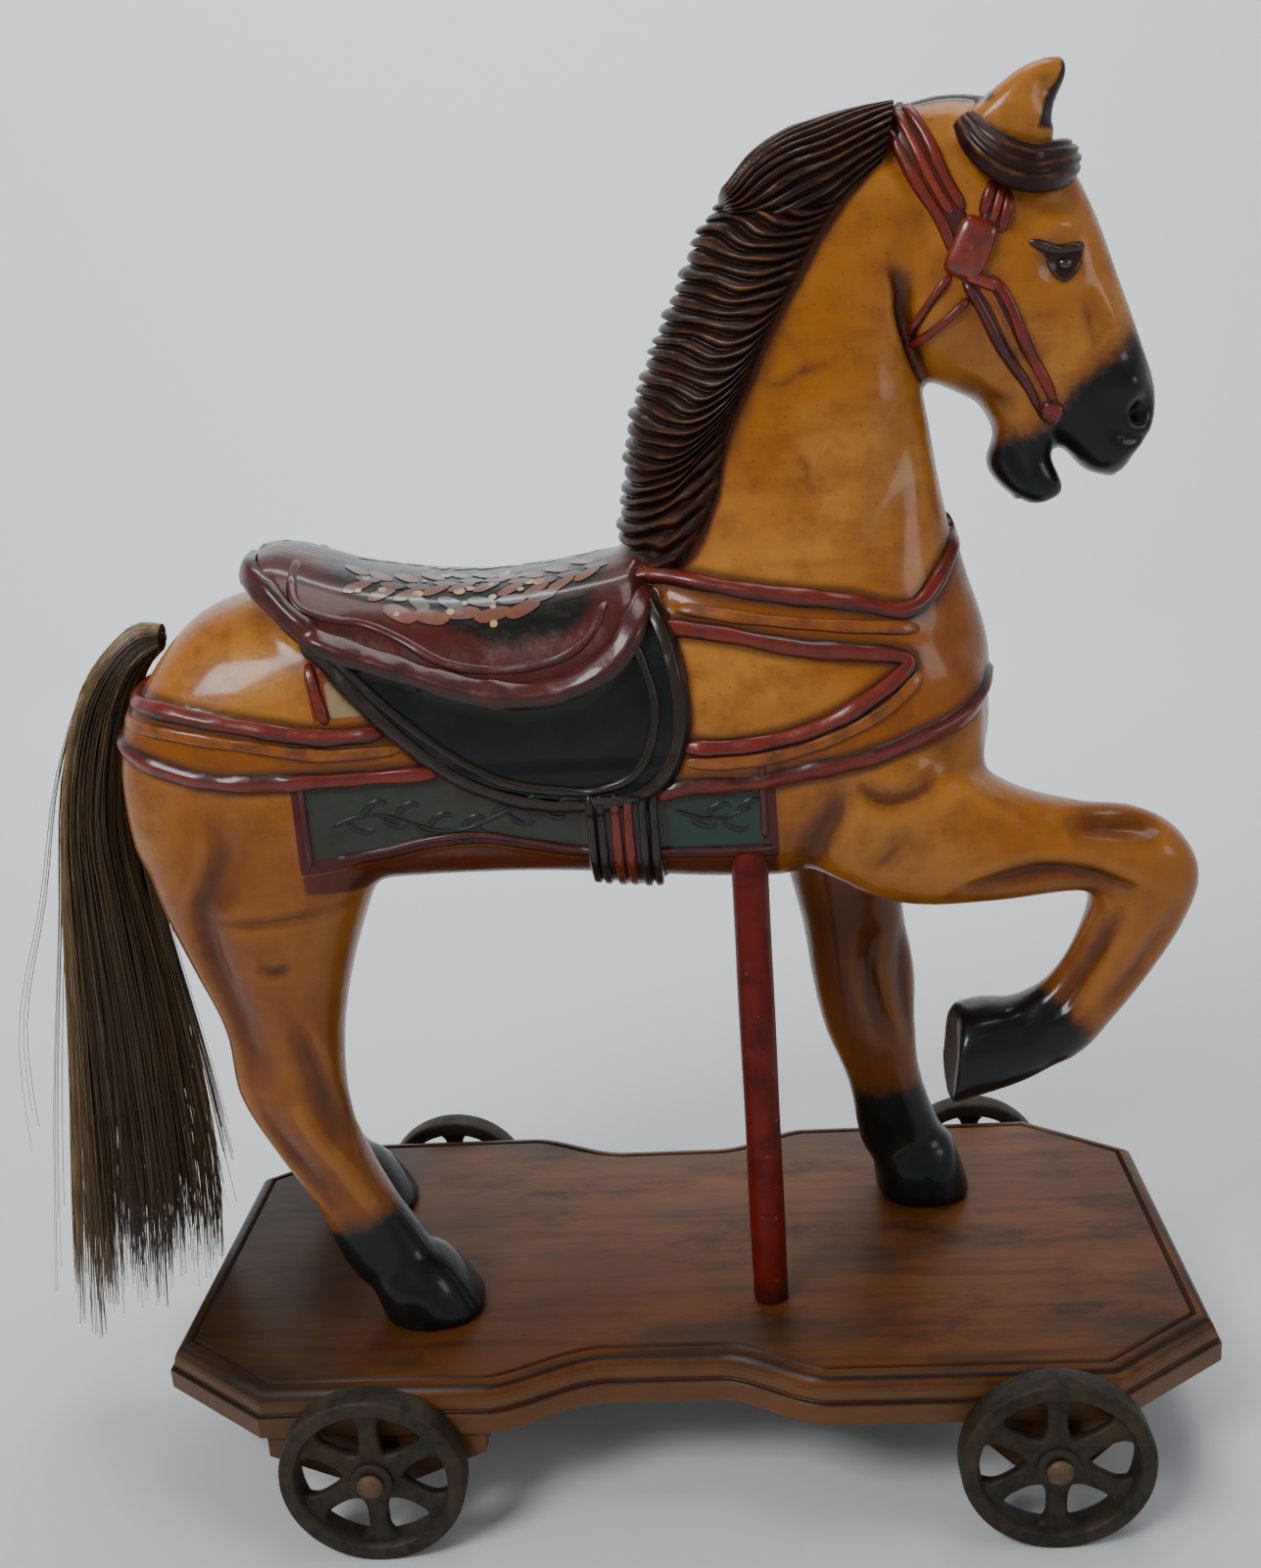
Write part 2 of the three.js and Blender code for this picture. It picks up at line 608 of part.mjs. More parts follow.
function wheel(name, x, side) {
  const half = WHEEL.width / 2;
  const outer = WHEEL.radius / Math.cos(Math.PI / WHEEL.sides);
  const ring = (low, high) => [[low, -half], [high, -half], [high, half], [low, half], [low, -half]];
  const rim = turned(ring(WHEEL.inner, outer), 0, WHEEL.sides);
  const hub = turned(ring(AXLE.radius + WHEEL.play, WHEEL.hub), 0, WHEEL.hubSides);
  const length = WHEEL.inner - WHEEL.hub + 2 * WHEEL.spokeRoot;
  const spokes = Array.from({ length: WHEEL.spokes }, (_, i) => {
    const spoke = new THREE.BoxGeometry(length, WHEEL.spokeDepth, WHEEL.spokeWidth);
    spoke.translate((WHEEL.inner + WHEEL.hub) / 2, 0, 0);
    spoke.rotateY((2 * Math.PI * (i + 0.5)) / WHEEL.spokes);
    spoke.translate(0, 0, WHEEL.radius);
    return toSolid(spoke);
  });
  const made = mesh(name, toGeometry(joined([rim, hub, ...spokes])), CAST_IRON);
  made.position.set(x, side * (WHEEL.outerFace - half), 0);
  return made;
}

const group = new THREE.Group();
group.add(horse(), mesh('tail', toGeometry(tailHair()), TAIL_HAIR), platform());
group.add(mesh('pole', toGeometry(poleRod(0, BOARD.top - POLE.into + GAP, POLE.top)), POLE_PAINT));
const axleEnds = [['front', AXLE_X.front, BOLSTER.frontHalf], ['rear', AXLE_X.rear, BOLSTER.rearHalf]];
for (const [end, x, half] of axleEnds) {
  group.add(bolster(`bolster_${end}`, x, half), axle(`axle_${end}`, x));
  group.add(wheel(`wheel_${end}_right`, x, -1), wheel(`wheel_${end}_left`, x, 1));
}
const extent = new THREE.Box3().setFromObject(group);
group.position.x = -(extent.min.x + extent.max.x) / 2;

export default group;
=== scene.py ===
import math

import bpy
import numpy as np
from mathutils import Matrix, Vector
from mathutils.bvhtree import BVHTree


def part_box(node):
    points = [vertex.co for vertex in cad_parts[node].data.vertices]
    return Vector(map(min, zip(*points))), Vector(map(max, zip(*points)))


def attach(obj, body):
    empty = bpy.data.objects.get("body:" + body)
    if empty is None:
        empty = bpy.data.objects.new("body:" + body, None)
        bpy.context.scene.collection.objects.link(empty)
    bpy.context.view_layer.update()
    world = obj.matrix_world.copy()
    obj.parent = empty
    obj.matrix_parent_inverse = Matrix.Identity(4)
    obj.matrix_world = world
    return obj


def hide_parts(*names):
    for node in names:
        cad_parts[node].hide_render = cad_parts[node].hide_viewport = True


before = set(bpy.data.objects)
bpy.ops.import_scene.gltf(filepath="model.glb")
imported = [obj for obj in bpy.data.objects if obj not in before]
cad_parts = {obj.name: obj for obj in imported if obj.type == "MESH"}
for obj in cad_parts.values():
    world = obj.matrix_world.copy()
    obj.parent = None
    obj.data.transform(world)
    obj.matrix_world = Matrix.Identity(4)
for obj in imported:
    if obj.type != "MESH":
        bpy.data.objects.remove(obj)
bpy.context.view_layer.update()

# Sizes are in millimetres, lengths from the middle of the platform and heights from the ground.
# The right side, with the raised foreleg and the pole, is at negative y.
MM = 0.001
SIDES = {-1: "right", 1: "left"}
BODY = "horse_on_platform"
MIDDLE_X = sum(corner[0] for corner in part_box("platform")) / 2
SEED = 11
random = np.random.default_rng(SEED)

# The horse's form as cross-sections seen from the side:
# [x, z] of the upper or front edge, [x, z] of the lower or rear edge, half width, middle in y.
TORSO = [
    [-215, 320, -215, 292, 24, 0], [-210, 338, -210, 272, 42, 0], [-198, 357, -198, 261, 51, 0],
    [-178, 376, -178, 256, 55, 0], [-130, 384, -130, 262, 55, 0], [-50, 378, -50, 263, 54, 0],
    [40, 384, 40, 256, 54, 0], [84, 380, 84, 258, 51, 0], [112, 370, 112, 268, 44, 0],
    [129, 350, 130, 284, 33, 0], [135, 334, 135, 304, 20, 0],
]
TRUNK_SQUARE = (2.5, 4)
SEAT = [
    [-163, 391, -163, 258, 50, 0], [-148, 400, -148, 258, 60, 0], [-110, 389, -110, 260, 61, 0],
    [-60, 383, -60, 260, 61, 0], [2, 390, 2, 258, 61, 0],
]
NECK = [
    [-12, 362, 134, 300, 48, 0], [-6, 388, 137, 342, 43, 0], [-1, 412, 128, 374, 38, 0],
    [5, 438, 121, 402, 34, 0], [16, 466, 116, 432, 30, 0], [34, 494, 112, 456, 27, 0],
    [60, 520, 114, 476, 24, 0], [90, 537, 120, 492, 21, 0],
]
HEAD = [
    [104, 545, 98, 494, 17, 0], [124, 548, 104, 463, 21, 0], [146, 544, 111, 449, 24, 0],
    [163, 530, 121, 444, 25, 0], [177, 506, 133, 438, 24, 0], [187, 481, 146, 431, 20, 0],
    [196, 457, 158, 424, 17, 0], [202, 437, 168, 417, 16, 0], [201, 424, 177, 408, 15, 0],
    [194, 414, 184, 406, 10, 0],
]
JAW = [
    [152, 447, 118, 452, 19, 0], [158, 433, 134, 438, 16, 0], [163, 423, 141, 425, 13, 0],
    [163, 415, 138, 414, 12, 0], [166, 408, 145, 403, 12, 0], [168, 403, 154, 397, 10, 0],
]
HIND_LEG = [
    [-96, 318, -196, 338, 26, 26], [-103, 290, -208, 304, 29, 29], [-118, 256, -206, 270, 28, 32],
    [-128, 228, -194, 236, 23, 37], [-134, 200, -183, 206, 18, 41], [-135, 174, -181, 178, 16, 43],
    [-130, 148, -168, 149, 14, 44], [-120, 124, -154, 122, 13, 44], [-110, 106, -146, 98, 14, 44],
    [-104, 94, -138, 86, 15, 44],
]
SOLE = 70.3
HIND_HOOF = [
    [-103, 98, -137, 92, 15, 44], [-96, 90, -134, 84, 19, 44], [-85, SOLE, -130, SOLE, 22, 44],
]
FAR_STRIDE = -46
FAR_OFFSET = -3
STANDING_LEG = [
    [120, 300, 46, 300, 28, 27], [114, 268, 50, 268, 26, 30], [106, 238, 55, 238, 22, 34],
    [107, 210, 61, 208, 18, 37], [111, 184, 64, 182, 16, 39], [111, 158, 69, 156, 14, 39],
    [113, 132, 79, 128, 13, 39], [121, 106, 84, 98, 14, 39], [127, 94, 89, 88, 15, 39],
]
STANDING_HOOF = [
    [127, 98, 89, 93, 16, 39], [130, 88, 90, 86, 19, 39], [135, SOLE, 91, SOLE, 22, 39],
]
RAISED_LEG = [
    [98, 332, 44, 304, 22, 26], [122, 305, 58, 266, 26, 28], [146, 290, 94, 247, 24, 34],
    [168, 285, 132, 247, 20, 39], [188, 283, 158, 250, 18, 41], [204, 274, 170, 250, 18, 42],
    [213, 257, 171, 245, 17, 42], [208, 237, 167, 233, 15, 42], [195, 214, 160, 219, 13, 42],
    [181, 195, 152, 209, 13, 42], [169, 181, 143, 204, 14, 42], [155, 175, 135, 202, 15, 42],
]
RAISED_HOOF = [
    [158, 176, 136, 203, 15, 42], [145, 170, 129, 203, 18, 42], [114, 161, 118, 200, 21, 42],
]
EAR = [
    [160, 524, 126, 534, 9, 15], [161, 535, 134, 542, 10, 16], [163, 543, 143, 550, 8.5, 17],
    [166, 549, 153, 555, 5.5, 18], [166, 552, 161, 556, 2.5, 18],
]
TUFT = [
    [104, 545, 98, 522, 20, 0], [92, 543.5, 88, 512, 23, 0], [78, 541, 78, 503, 26, 0],
    [64, 537.5, 66, 502, 28, 0], [52, 530.5, 55, 506, 27, 0], [43, 520.5, 46, 511, 24, 0],
]
TAIL = [
    [-200, 369, -201, 359, 5, 0], [-210, 370, -207, 354, 8, 0], [-222, 362, -213, 345, 12, 0],
    [-236, 346, -218, 330, 15, 0], [-246, 322, -223, 308, 18, 0], [-254, 290, -226, 284, 20, 0],
    [-260, 254, -223, 250, 21, 0], [-267, 205, -218, 205, 22, 0], [-275, 150, -216, 158, 23, 0],
    [-283, 95, -216, 110, 23, 0], [-291, 36, -222, 52, 22, 0],
]

# Outlines on the sides as [x, z] points that a smooth curve joins.
SEAT_EDGE = [
    [-162, 398], [-158, 396], [-144, 387], [-126, 371], [-91, 357], [-56, 346], [-30, 346], [-8, 357],
    [5, 379],
]
SEAT_ROLL = [
    [-134, 400], [-133, 389], [-130, 381.5], [-119, 376], [-105, 373], [-90.6, 367], [-77, 359], [-64.5, 355],
    [-46, 354], [-28, 357.5], [-18, 364], [-11, 376],
]
SKIRT_EDGE = [
    [-128, 369], [-114, 351], [-92, 328], [-76, 314], [-50, 302], [-20, 299], [5, 306], [15, 325], [14, 352],
    [6, 376],
]
SKIRT_RIDGE = [
    [-118, 366], [-109, 355], [-91, 337], [-69, 319], [-52, 310], [-34, 306.5], [-18, 305.5], [-4, 311],
    [3, 323], [5.5, 337], [2.5, 351], [-2, 362],
]
COLLAR_TOP = [
    [0, 383], [14, 382], [33, 378], [60, 373], [83, 369], [99, 364.5], [107, 365.5], [114, 372], [123, 384],
    [131, 396],
]
COLLAR_INNER = [
    [8, 365], [32, 361], [59, 354.5], [82, 351], [97, 348.5], [103, 346], [98, 341], [85, 333], [70, 325.5],
    [54, 321], [34, 318.5], [14, 319.5],
]
COLLAR_LOW = [
    [3, 301], [15, 304], [39, 304], [66, 308], [84, 311], [103, 316.5], [118, 320.5], [130, 327], [138, 335],
]
COLLAR_RIDGES = [
    [[14, 371], [42, 366], [68, 362], [97, 358.5], [108, 357]],
    [[107, 342], [98, 333.5], [87, 326.5], [72, 320], [54, 315], [30, 313], [14, 314]],
]
BREECHING_TOP = [[-226, 350], [-205, 346], [-187, 345], [-153, 338], [-124, 332], [-98, 332]]
BREECHING_LOW = [[-226, 336], [-208, 329], [-195, 325], [-166, 317], [-126, 315], [-79, 315]]
BREECHING_RIDGE = [[-222, 343.5], [-205, 338.5], [-187, 337], [-153, 331], [-124, 325], [-92, 325]]
BEADS = [COLLAR_TOP, COLLAR_INNER, COLLAR_LOW, BREECHING_TOP, BREECHING_LOW]
BLANKET_EDGE = [
    [-138, 277], [-124, 277], [-106, 279], [-86, 283], [-66, 284], [-48, 280], [-25, 275], [10, 273],
    [50, 272],
]
BLANKET_LEFT = -138
BLANKET_RIGHT = 49
BLANKET_TOP = 322
GIRTH_MIDDLE = -10
GIRTH_HALF = 14
GIRTH_TOP = 304
GIRTH_LOW = 259
MUZZLE_DARK = [
    (196, 462), (188, 455), (180, 449), (170, 441), (163, 433), (160, 425), (152, 424), (143, 422),
    (136, 427), (128, 380), (230, 380), (230, 470),
]
RAISED_DARK = [
    (138, 225), (144, 209), (152, 210.5), (162, 200.5), (167, 194), (173, 183), (150, 130), (90, 150),
    (90, 220),
]
EYE_DARK = [
    (149, 495), (155, 493.5), (161, 492), (166, 492.5), (172, 493), (171, 487), (167.5, 481.5), (164, 478),
    (160, 481), (156.5, 488),
]
EAR_DARK = [(162.5, 557), (160.5, 547), (156, 541), (153, 532), (175, 528), (175, 557)]
POLL_DARK = [(107, 556), (140, 556), (138, 542), (125, 544), (111, 543.5)]
HIP_PANEL = [(-129, 362), (-125, 332), (-90, 332), (-112, 357)]

# The front edge of the mane on the neck.
MANE_FRONT = [
    [98, 528], [89, 518], [78.5, 506], [69, 491], [59, 475], [48, 454], [38, 433], [31, 408], [22, 389],
    [11, 385],
]

# Colours are linear RGB.
COAT = (0.33, 0.108, 0.009)
COAT_PALE = (0.44, 0.175, 0.026)
COAT_DEEP = (0.15, 0.038, 0.004)
OCHRE = (0.25, 0.072, 0.004)
GLAZE_AND_SHADE = (0.075, 0.02, 0.004)
STAIN_AND_SHADE = (0.022, 0.008, 0.003)
RED = (0.16, 0.014, 0.004)
BRICK = (0.21, 0.027, 0.006)
MAROON = (0.075, 0.0085, 0.006)
BLACK = (0.005, 0.005, 0.005)
SKIRT_BLACK = (0.0035, 0.004, 0.003)
PANEL_GREY = (0.03, 0.034, 0.024)
PANEL_TEAL = (0.018, 0.042, 0.031)
CREAM = (0.52, 0.36, 0.14)
RUST = (0.16, 0.034, 0.006)
SLATE = (0.05, 0.056, 0.058)
MANE_DARK = (0.02, 0.007, 0.004)
MANE_RIDGE = (0.19, 0.07, 0.013)


def around(count):
    """Even angles round a full turn."""
    return np.linspace(0, 2 * math.pi, count, endpoint=False)


def unit(vectors):
    return vectors / np.maximum(np.linalg.norm(vectors, axis=-1, keepdims=True), 1e-9)


def lengths(points):
    """The length of a polyline up to each of its points."""
    return np.concatenate([[0], np.cumsum(np.linalg.norm(np.diff(points, axis=0), axis=1))])


def sampled(at, run, table):
    """The rows of a table, given at run, where at is."""
    return np.stack([np.interp(at, run, column) for column in table.T], 1)


def flipped(faces):
    return [face[::-1] for face in faces]


def squared(value, square):
    """The cosine or sine of a superellipse: 2 gives an ellipse, more gives a squarer section."""
    return np.sign(value) * np.abs(value) ** (2 / square)


def through(points, per):
    """Points along the centripetal Catmull-Rom curve through the given ones, per of them a stretch."""
    points = np.asarray(points, float)
    ends = np.vstack([2 * points[0] - points[1], points, 2 * points[-1] - points[-2]])
    p0, p1, p2, p3 = ends[:-3], ends[1:-2], ends[2:-1], ends[3:]
    spans = [np.sqrt(np.linalg.norm(b - a, axis=1))[:, None] for a, b in ((p0, p1), (p1, p2), (p2, p3))]
    d0, d1, d2 = (np.maximum(span, 1e-3) for span in spans)
    m1 = ((p1 - p0) / d0 - (p2 - p0) / (d0 + d1) + (p2 - p1) / d1) * d1
    m2 = ((p2 - p1) / d1 - (p3 - p1) / (d1 + d2) + (p3 - p2) / d2) * d1
    t = (np.arange(per) / per)[:, None, None]
    start = (2 * t**3 - 3 * t**2 + 1) * p1 + (t**3 - 2 * t**2 + t) * m1
    curve = start + (3 * t**2 - 2 * t**3) * p2 + (t**3 - t**2) * m2
    return np.vstack([curve.transpose(1, 0, 2).reshape(-1, points.shape[1]), points[-1:]])


def evenly(points, step=3):
    """The smooth curve through points, cut into even steps."""
    curve = through(points, 12)
    run = lengths(curve)
    count = max(2, round(run[-1] / step) + 1)
    at = np.linspace(0, run[-1], count)
    return sampled(at, run, curve)


def strip_faces(rings, count, closed=True):
    """Quads between rings of count points each."""
    ring = np.arange(rings - 1)[:, None] * count
    spot = np.arange(count if closed else count - 1)[None, :]
    a = ring + spot
    b = ring + (spot + 1) % count
    return np.stack([a, b, b + count, a + count], axis=-1).reshape(-1, 4).tolist()


def capped(rings, tips):
    """Closed rings of points with a tip beyond each end, as (points, faces)."""
    count = rings.shape[1]
    points = np.vstack([rings.reshape(-1, 3), tips])
    faces = strip_faces(len(rings), count)
    last = (len(rings) - 1) * count
    first_tip, last_tip = len(points) - 2, len(points) - 1
    for i in range(count):
        j = (i + 1) % count
        faces.append([j, i, first_tip])
        faces.append([last + i, last + j, last_tip])
    return points, faces


def sections(stations, per, side=1):
    """The middle, the half vector to the upper edge and the half width of each smooth cross-section."""
    table = np.asarray(stations, float)
    upper = through(table[:, [0, 4, 1]], per)
    lower = through(table[:, [2, 5, 3]], per)
    middle, along = (upper + lower) / 2, (upper - lower) / 2
    middle[:, 1], along[:, 1] = side * lower[:, 1], 0
    return middle, along, upper[:, 1]


# The rings that round a loft's end over: their size and their share of the dome's height.
ROUND_OVER = ((0.9, 0.45), (0.62, 0.85))


def loft(stations, turns=56, per=8, square=(2.4, 2.4), side=1, dome=3.0, grow=0.0):
    """A closed body through the stations, rounded over at both ends."""
    middle, along, half = sections(stations, per, side)
    angle = around(turns)
    power = np.where(np.cos(angle) > 0, square[0], square[1])
    c = squared(np.cos(angle), power)[None, :, None]
    s = squared(np.sin(angle), power)[None, :, None]
    length = np.linalg.norm(along, axis=1, keepdims=True)
    reach = (along * (1 + grow / length))[:, None, :]
    across = np.zeros((len(half), 1, 3))
    across[:, 0, 1] = half + grow
    rings = middle[:, None, :] + reach * c + across * s
    whole, tips = [rings], []
    for end, following in ((0, 1), (-1, -2)):
        outward = middle[end] - middle[following]
        outward /= np.linalg.norm(outward)
        domed = [(middle[end] + size * (rings[end] - middle[end]) + rise * dome * outward)[None]
                 for size, rise in ROUND_OVER]
        whole = whole + domed if end else domed[::-1] + whole
        tips.append(middle[end] + dome * outward)
    return capped(np.concatenate(whole), np.array(tips))


def joined(parts):
    """Several (points, faces) pairs as one."""
    points, faces, offset = [], [], 0
    for part_points, part_faces in parts:
        points.append(np.asarray(part_points, float))
        faces.extend([[i + offset for i in face] for face in part_faces])
        offset += len(part_points)
    return np.vstack(points), faces


def in_frame(points):
    return np.asarray(points, float) * MM + [MIDDLE_X, 0, 0]


def linked(name, data):
    """An object of the data, linked to the scene."""
    item = bpy.data.objects.new(name, data)
    bpy.context.scene.collection.objects.link(item)
    return item


def add_object(name, part, fields=None):
    """A smooth-shaded mesh object of (points in millimetres, faces), with named values on its points."""
    points, faces = part
    mesh = bpy.data.meshes.new(name)
    mesh.from_pydata(in_frame(points).tolist(), [], faces)
    for key, values in (fields or {}).items():
        mesh.attributes.new(key, "FLOAT", "POINT").data.foreach_set("value", np.asarray(values, np.float32))
    mesh.shade_smooth()
    mesh.update()
    return linked(name, mesh)


def finish_piece(item, material, slot, *nodes, body=BODY):
    """Gives a piece its material, its body and the nodes that it stands for; slot is not used."""
    item.data.materials.clear()
    item.data.materials.append(material)
    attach(item, body)
    if nodes:
        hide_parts(*nodes)
    return item


# Distances seen from the side, for carving and for the edges of painted areas.
def to_line(x, z, line):
    """How far every (x, z) is from a polyline, how far along it the nearest spot is, and on which side."""
    line = np.asarray(line, float)
    run = lengths(line)
    steps = np.linalg.norm(np.diff(line, axis=0), axis=1)
    best, along, beside = np.full(x.shape, np.inf), np.zeros(x.shape), np.zeros(x.shape)
    for (ax, az), (bx, bz), start, step in zip(line[:-1], line[1:], run, steps):
        dx, dz = bx - ax, bz - az
        share = np.clip(((x - ax) * dx + (z - az) * dz) / max(step * step, 1e-9), 0, 1)
        away = np.hypot(x - ax - share * dx, z - az - share * dz)
        nearer = away < best
        best = np.where(nearer, away, best)
        along = np.where(nearer, (start + share * step) / run[-1], along)
        beside = np.where(nearer, np.sign(dx * (z - az) - dz * (x - ax)), beside)
    return best, along, beside


def inside(x, z, outline):
    """The signed distance to a closed outline, positive inside."""
    loop = np.vstack([outline, outline[:1]])
    within = np.zeros(x.shape, bool)
    for (ax, az), (bx, bz) in zip(loop[:-1], loop[1:]):
        crosses = (az > z) != (bz > z)
        at = ax + (z - az) * (bx - ax) / (bz - az if bz != az else 1e-9)
        within ^= crosses & (x < at)
    return np.where(within, 1, -1) * to_line(x, z, loop)[0]


# The carved body.
def far_share(z):
    """How far down the hind leg a height is, from 0 at its top to 1 at its foot."""
    high, low = HIND_LEG[0][1], HIND_LEG[-1][1]
    return np.clip((high - z) / (high - low), 0, 1)


def far_shift(z):
    """How far the left hind leg is set back at a height."""
    share = far_share(z)
    return FAR_STRIDE * share * share * (3 - 2 * share)


def far_hind(stations):
    """The left hind leg is the right one with its foot set further back."""
    moved = []
    for ax, az, bx, bz, half, y in stations:
        z = (az + bz) / 2
        shift = far_shift(z)
        moved.append([ax + shift, az, bx + shift, bz, half, y + FAR_OFFSET * far_share(z)])
    return moved


def seat_block():
    """The seat as a closed saddle shape, from its crest down to its lower edge on both sides."""
    middle, along, half = sections(SEAT, 12)
    edge = evenly(SEAT_EDGE, 1.0)
    turns = 40
    rings = []
    for centre, up, width in zip(middle, along, half):
        low = np.interp(centre[0], edge[:, 0], edge[:, 1])
        share = np.clip((low - centre[2]) / up[2], 0, 0.999)
        last = math.acos(share ** (TRUNK_SQUARE[0] / 2))
        angle = np.linspace(-last, last, turns)
        y = width * squared(np.sin(angle), TRUNK_SQUARE[0])
        z = centre[2] + up[2] * squared(np.cos(angle), TRUNK_SQUARE[0])
        top = np.stack([np.full(turns, centre[0]), y, z], 1)
        floor = top[::-1] * [1, 0.85, 0] + [0, 0, low - 8]
        rings.append(np.vstack([top, floor]))
    rings = np.array(rings)
    tips = np.array([rings[0].mean(axis=0) - [2, 0, 0], rings[-1].mean(axis=0) + [2, 0, 0]])
    return capped(rings, tips)


def voxel_union(part, size):
    """One skin around overlapping closed bodies, as arrays of points, faces and edges."""
    raw = add_object("raw_union", part)
    remesh = raw.modifiers.new("union", "REMESH")
    remesh.mode = "VOXEL"
    remesh.voxel_size = size * MM
    evaluated = raw.evaluated_get(bpy.context.evaluated_depsgraph_get())
    mesh = evaluated.to_mesh()
    count = len(mesh.vertices)
    points = np.empty(3 * count, np.float32)
    mesh.vertices.foreach_get("co", points)
    corners = np.empty(4 * len(mesh.polygons), np.int32)
    mesh.polygons.foreach_get("vertices", corners)
    edges = np.empty(2 * len(mesh.edges), np.int32)
    mesh.edges.foreach_get("vertices", edges)
    evaluated.to_mesh_clear()
    bpy.data.objects.remove(raw)
    points = (points.reshape(-1, 3).astype(float) - [MIDDLE_X, 0, 0]) / MM
    return points, corners.reshape(-1, 4), edges.reshape(-1, 2)


def neighbour_mean(values, edges, count):
    """The mean of each point's neighbours' values."""
    a, b = edges[:, 0], edges[:, 1]
    number = np.bincount(a, minlength=count) + np.bincount(b, minlength=count)
    columns = []
    for column in np.atleast_2d(values.T):
        total = np.bincount(a, column[b], count) + np.bincount(b, column[a], count)
        columns.append(total / np.maximum(number, 1))
    return np.array(columns).T.reshape(values.shape)


def normals_of(points, quads):
    """Unit normals at the points of a mesh of quads."""
    across = np.cross(points[quads[:, 2]] - points[quads[:, 0]], points[quads[:, 3]] - points[quads[:, 1]])
    total = np.zeros_like(points)
    for corner in range(4):
        for axis in range(3):
            total[:, axis] += np.bincount(quads[:, corner], across[:, axis], len(points))
    return unit(total)


def smooth_between(low, high, value):
    share = np.clip((value - low) / (high - low), 0, 1)
    return share * share * (3 - 2 * share)


# Each carved line: its [x, z] points, half width, depth (negative stands out), how dark the glaze and painted
# shade lie in it, the side it is on (-1 right, 1 left, 0 both) and how much wider it is on the left of its
# course.
# Lines behind x = HIND_LINES are on the hind legs and follow the left one's stride too.
HIND_LINES = -115
CUTS = [
    ([[-168, 304], [-168, 290], [-172, 276], [-180, 262], [-180, 247], [-178, 232], [-173, 212], [-170, 197],
      [-169, 180]], 7, 3.4, 0.75, 0, 0.3),
    ([[-148, 212], [-143, 190], [-138, 170], [-133, 154]], 4.5, 2.4, 0.6, 0, -0.4),
    ([[-169, 175], [-162, 158], [-150, 137], [-143, 124]], 4, 1.8, 0.7, 0, 0.3),
    ([[-154, 178], [-146, 160], [-137, 144], [-126, 121]], 4, -1.8, 0, 0, 0),
    ([[-183, 259], [-151, 259], [-118, 260]], 1.4, 0.7, 0.35, 0, 0),
    ([[-160, 239], [-154, 237], [-147, 238]], 1.4, 0.9, 0.9, -1, 0),
    ([[79, 301], [92, 294], [103, 296], [112, 301]], 4, 2.2, 0.4, 0, 0),
    ([[79, 298], [76, 296], [71, 286], [66, 277], [63, 267], [60, 259]], 5.5, 2.6, 0.65, -1, -0.3),
    ([[110, 288], [121, 294], [132, 287], [145, 283]], 4.5, -2, 0, -1, 0),
    ([[55, 265], [61, 258], [70, 253], [79, 252]], 4.5, 2.4, 0.8, -1, 0),
    ([[83, 262], [95, 275], [102, 283]], 4.5, 1.4, 0.35, -1, 0),
    ([[118, 256], [134, 261], [149, 264], [165, 262], [178, 257], [188, 253]], 4.5, 3, 0.75, -1, -0.4),
    ([[158, 281], [169, 282], [182, 281], [197, 278]], 4.2, 3.6, 0.85, -1, -0.5),
    ([[180, 244], [174, 231], [166, 216], [159, 205], [150, 201]], 4, 2.6, 0.75, -1, -0.4),
    ([[202, 246], [193, 230], [184, 215], [175, 203]], 3.4, 1.2, 0.3, -1, 0),
    ([[91, 212], [89, 193], [92, 172], [98, 154]], 3.6, 1.8, 0.6, 1, 0),
    ([[105, 212], [104, 192], [105, 172], [111, 148]], 3.2, 1.4, 0.5, 1, 0),
    ([[101, 488], [104, 480], [104, 473], [106, 464], [110, 453], [114, 446]], 2.6, 3.4, 1, 0, 0.4),
    ([[107, 440], [101, 412], [88, 382]], 9, 1.2, 0.2, 0, 0),
    ([[171, 474], [174, 462], [177, 450]], 2, 0.7, 0.35, 0, 0),
    ([[176, 480], [182, 466], [186, 452]], 3.5, -1, 0, 0, 0),
    ([[152, 499], [160, 498.5], [170, 498]], 4, -1.4, 0, 0, 0),
    ([[126, 447], [138, 438], [150, 434]], 4, 1.4, 0.6, 0, 0),
    ([[138, 431], [139, 425], [136, 418], [137, 412]], 3, 1.2, 0.5, 0, 0),
    ([[146, 426], [149, 414], [153, 404]], 2.6, 1.6, 0.7, 0, 0),
    ([[184, 425], [191, 420.5], [199, 421]], 1.8, 1.6, 0.4, 0, 0),
    ([[49, 454], [58, 450], [67, 454], [79, 456]], 1.2, 0.6, 0.5, -1, 0),
    ([[60, 430], [66, 421], [70, 407]], 1.2, 0.5, 0.3, -1, 0),
]
# Each hollow or swelling: [x, z], half width, depth (negative stands out).
BODY_SPOTS = [
    ((162, 486), 7, 2.2),
    ((118, 466), 13, -2.4),
    ((194.5, 430), 3.8, 5),
    ((189, 441), 7, -2.4),
    ((-160, 318), 38, -3),
    ((-165, 262), 26, -2),
    ((96, 300), 26, -2.6),
    ((150, 452), 9, 1.6),
    ((158, 544), 6, 2),
]


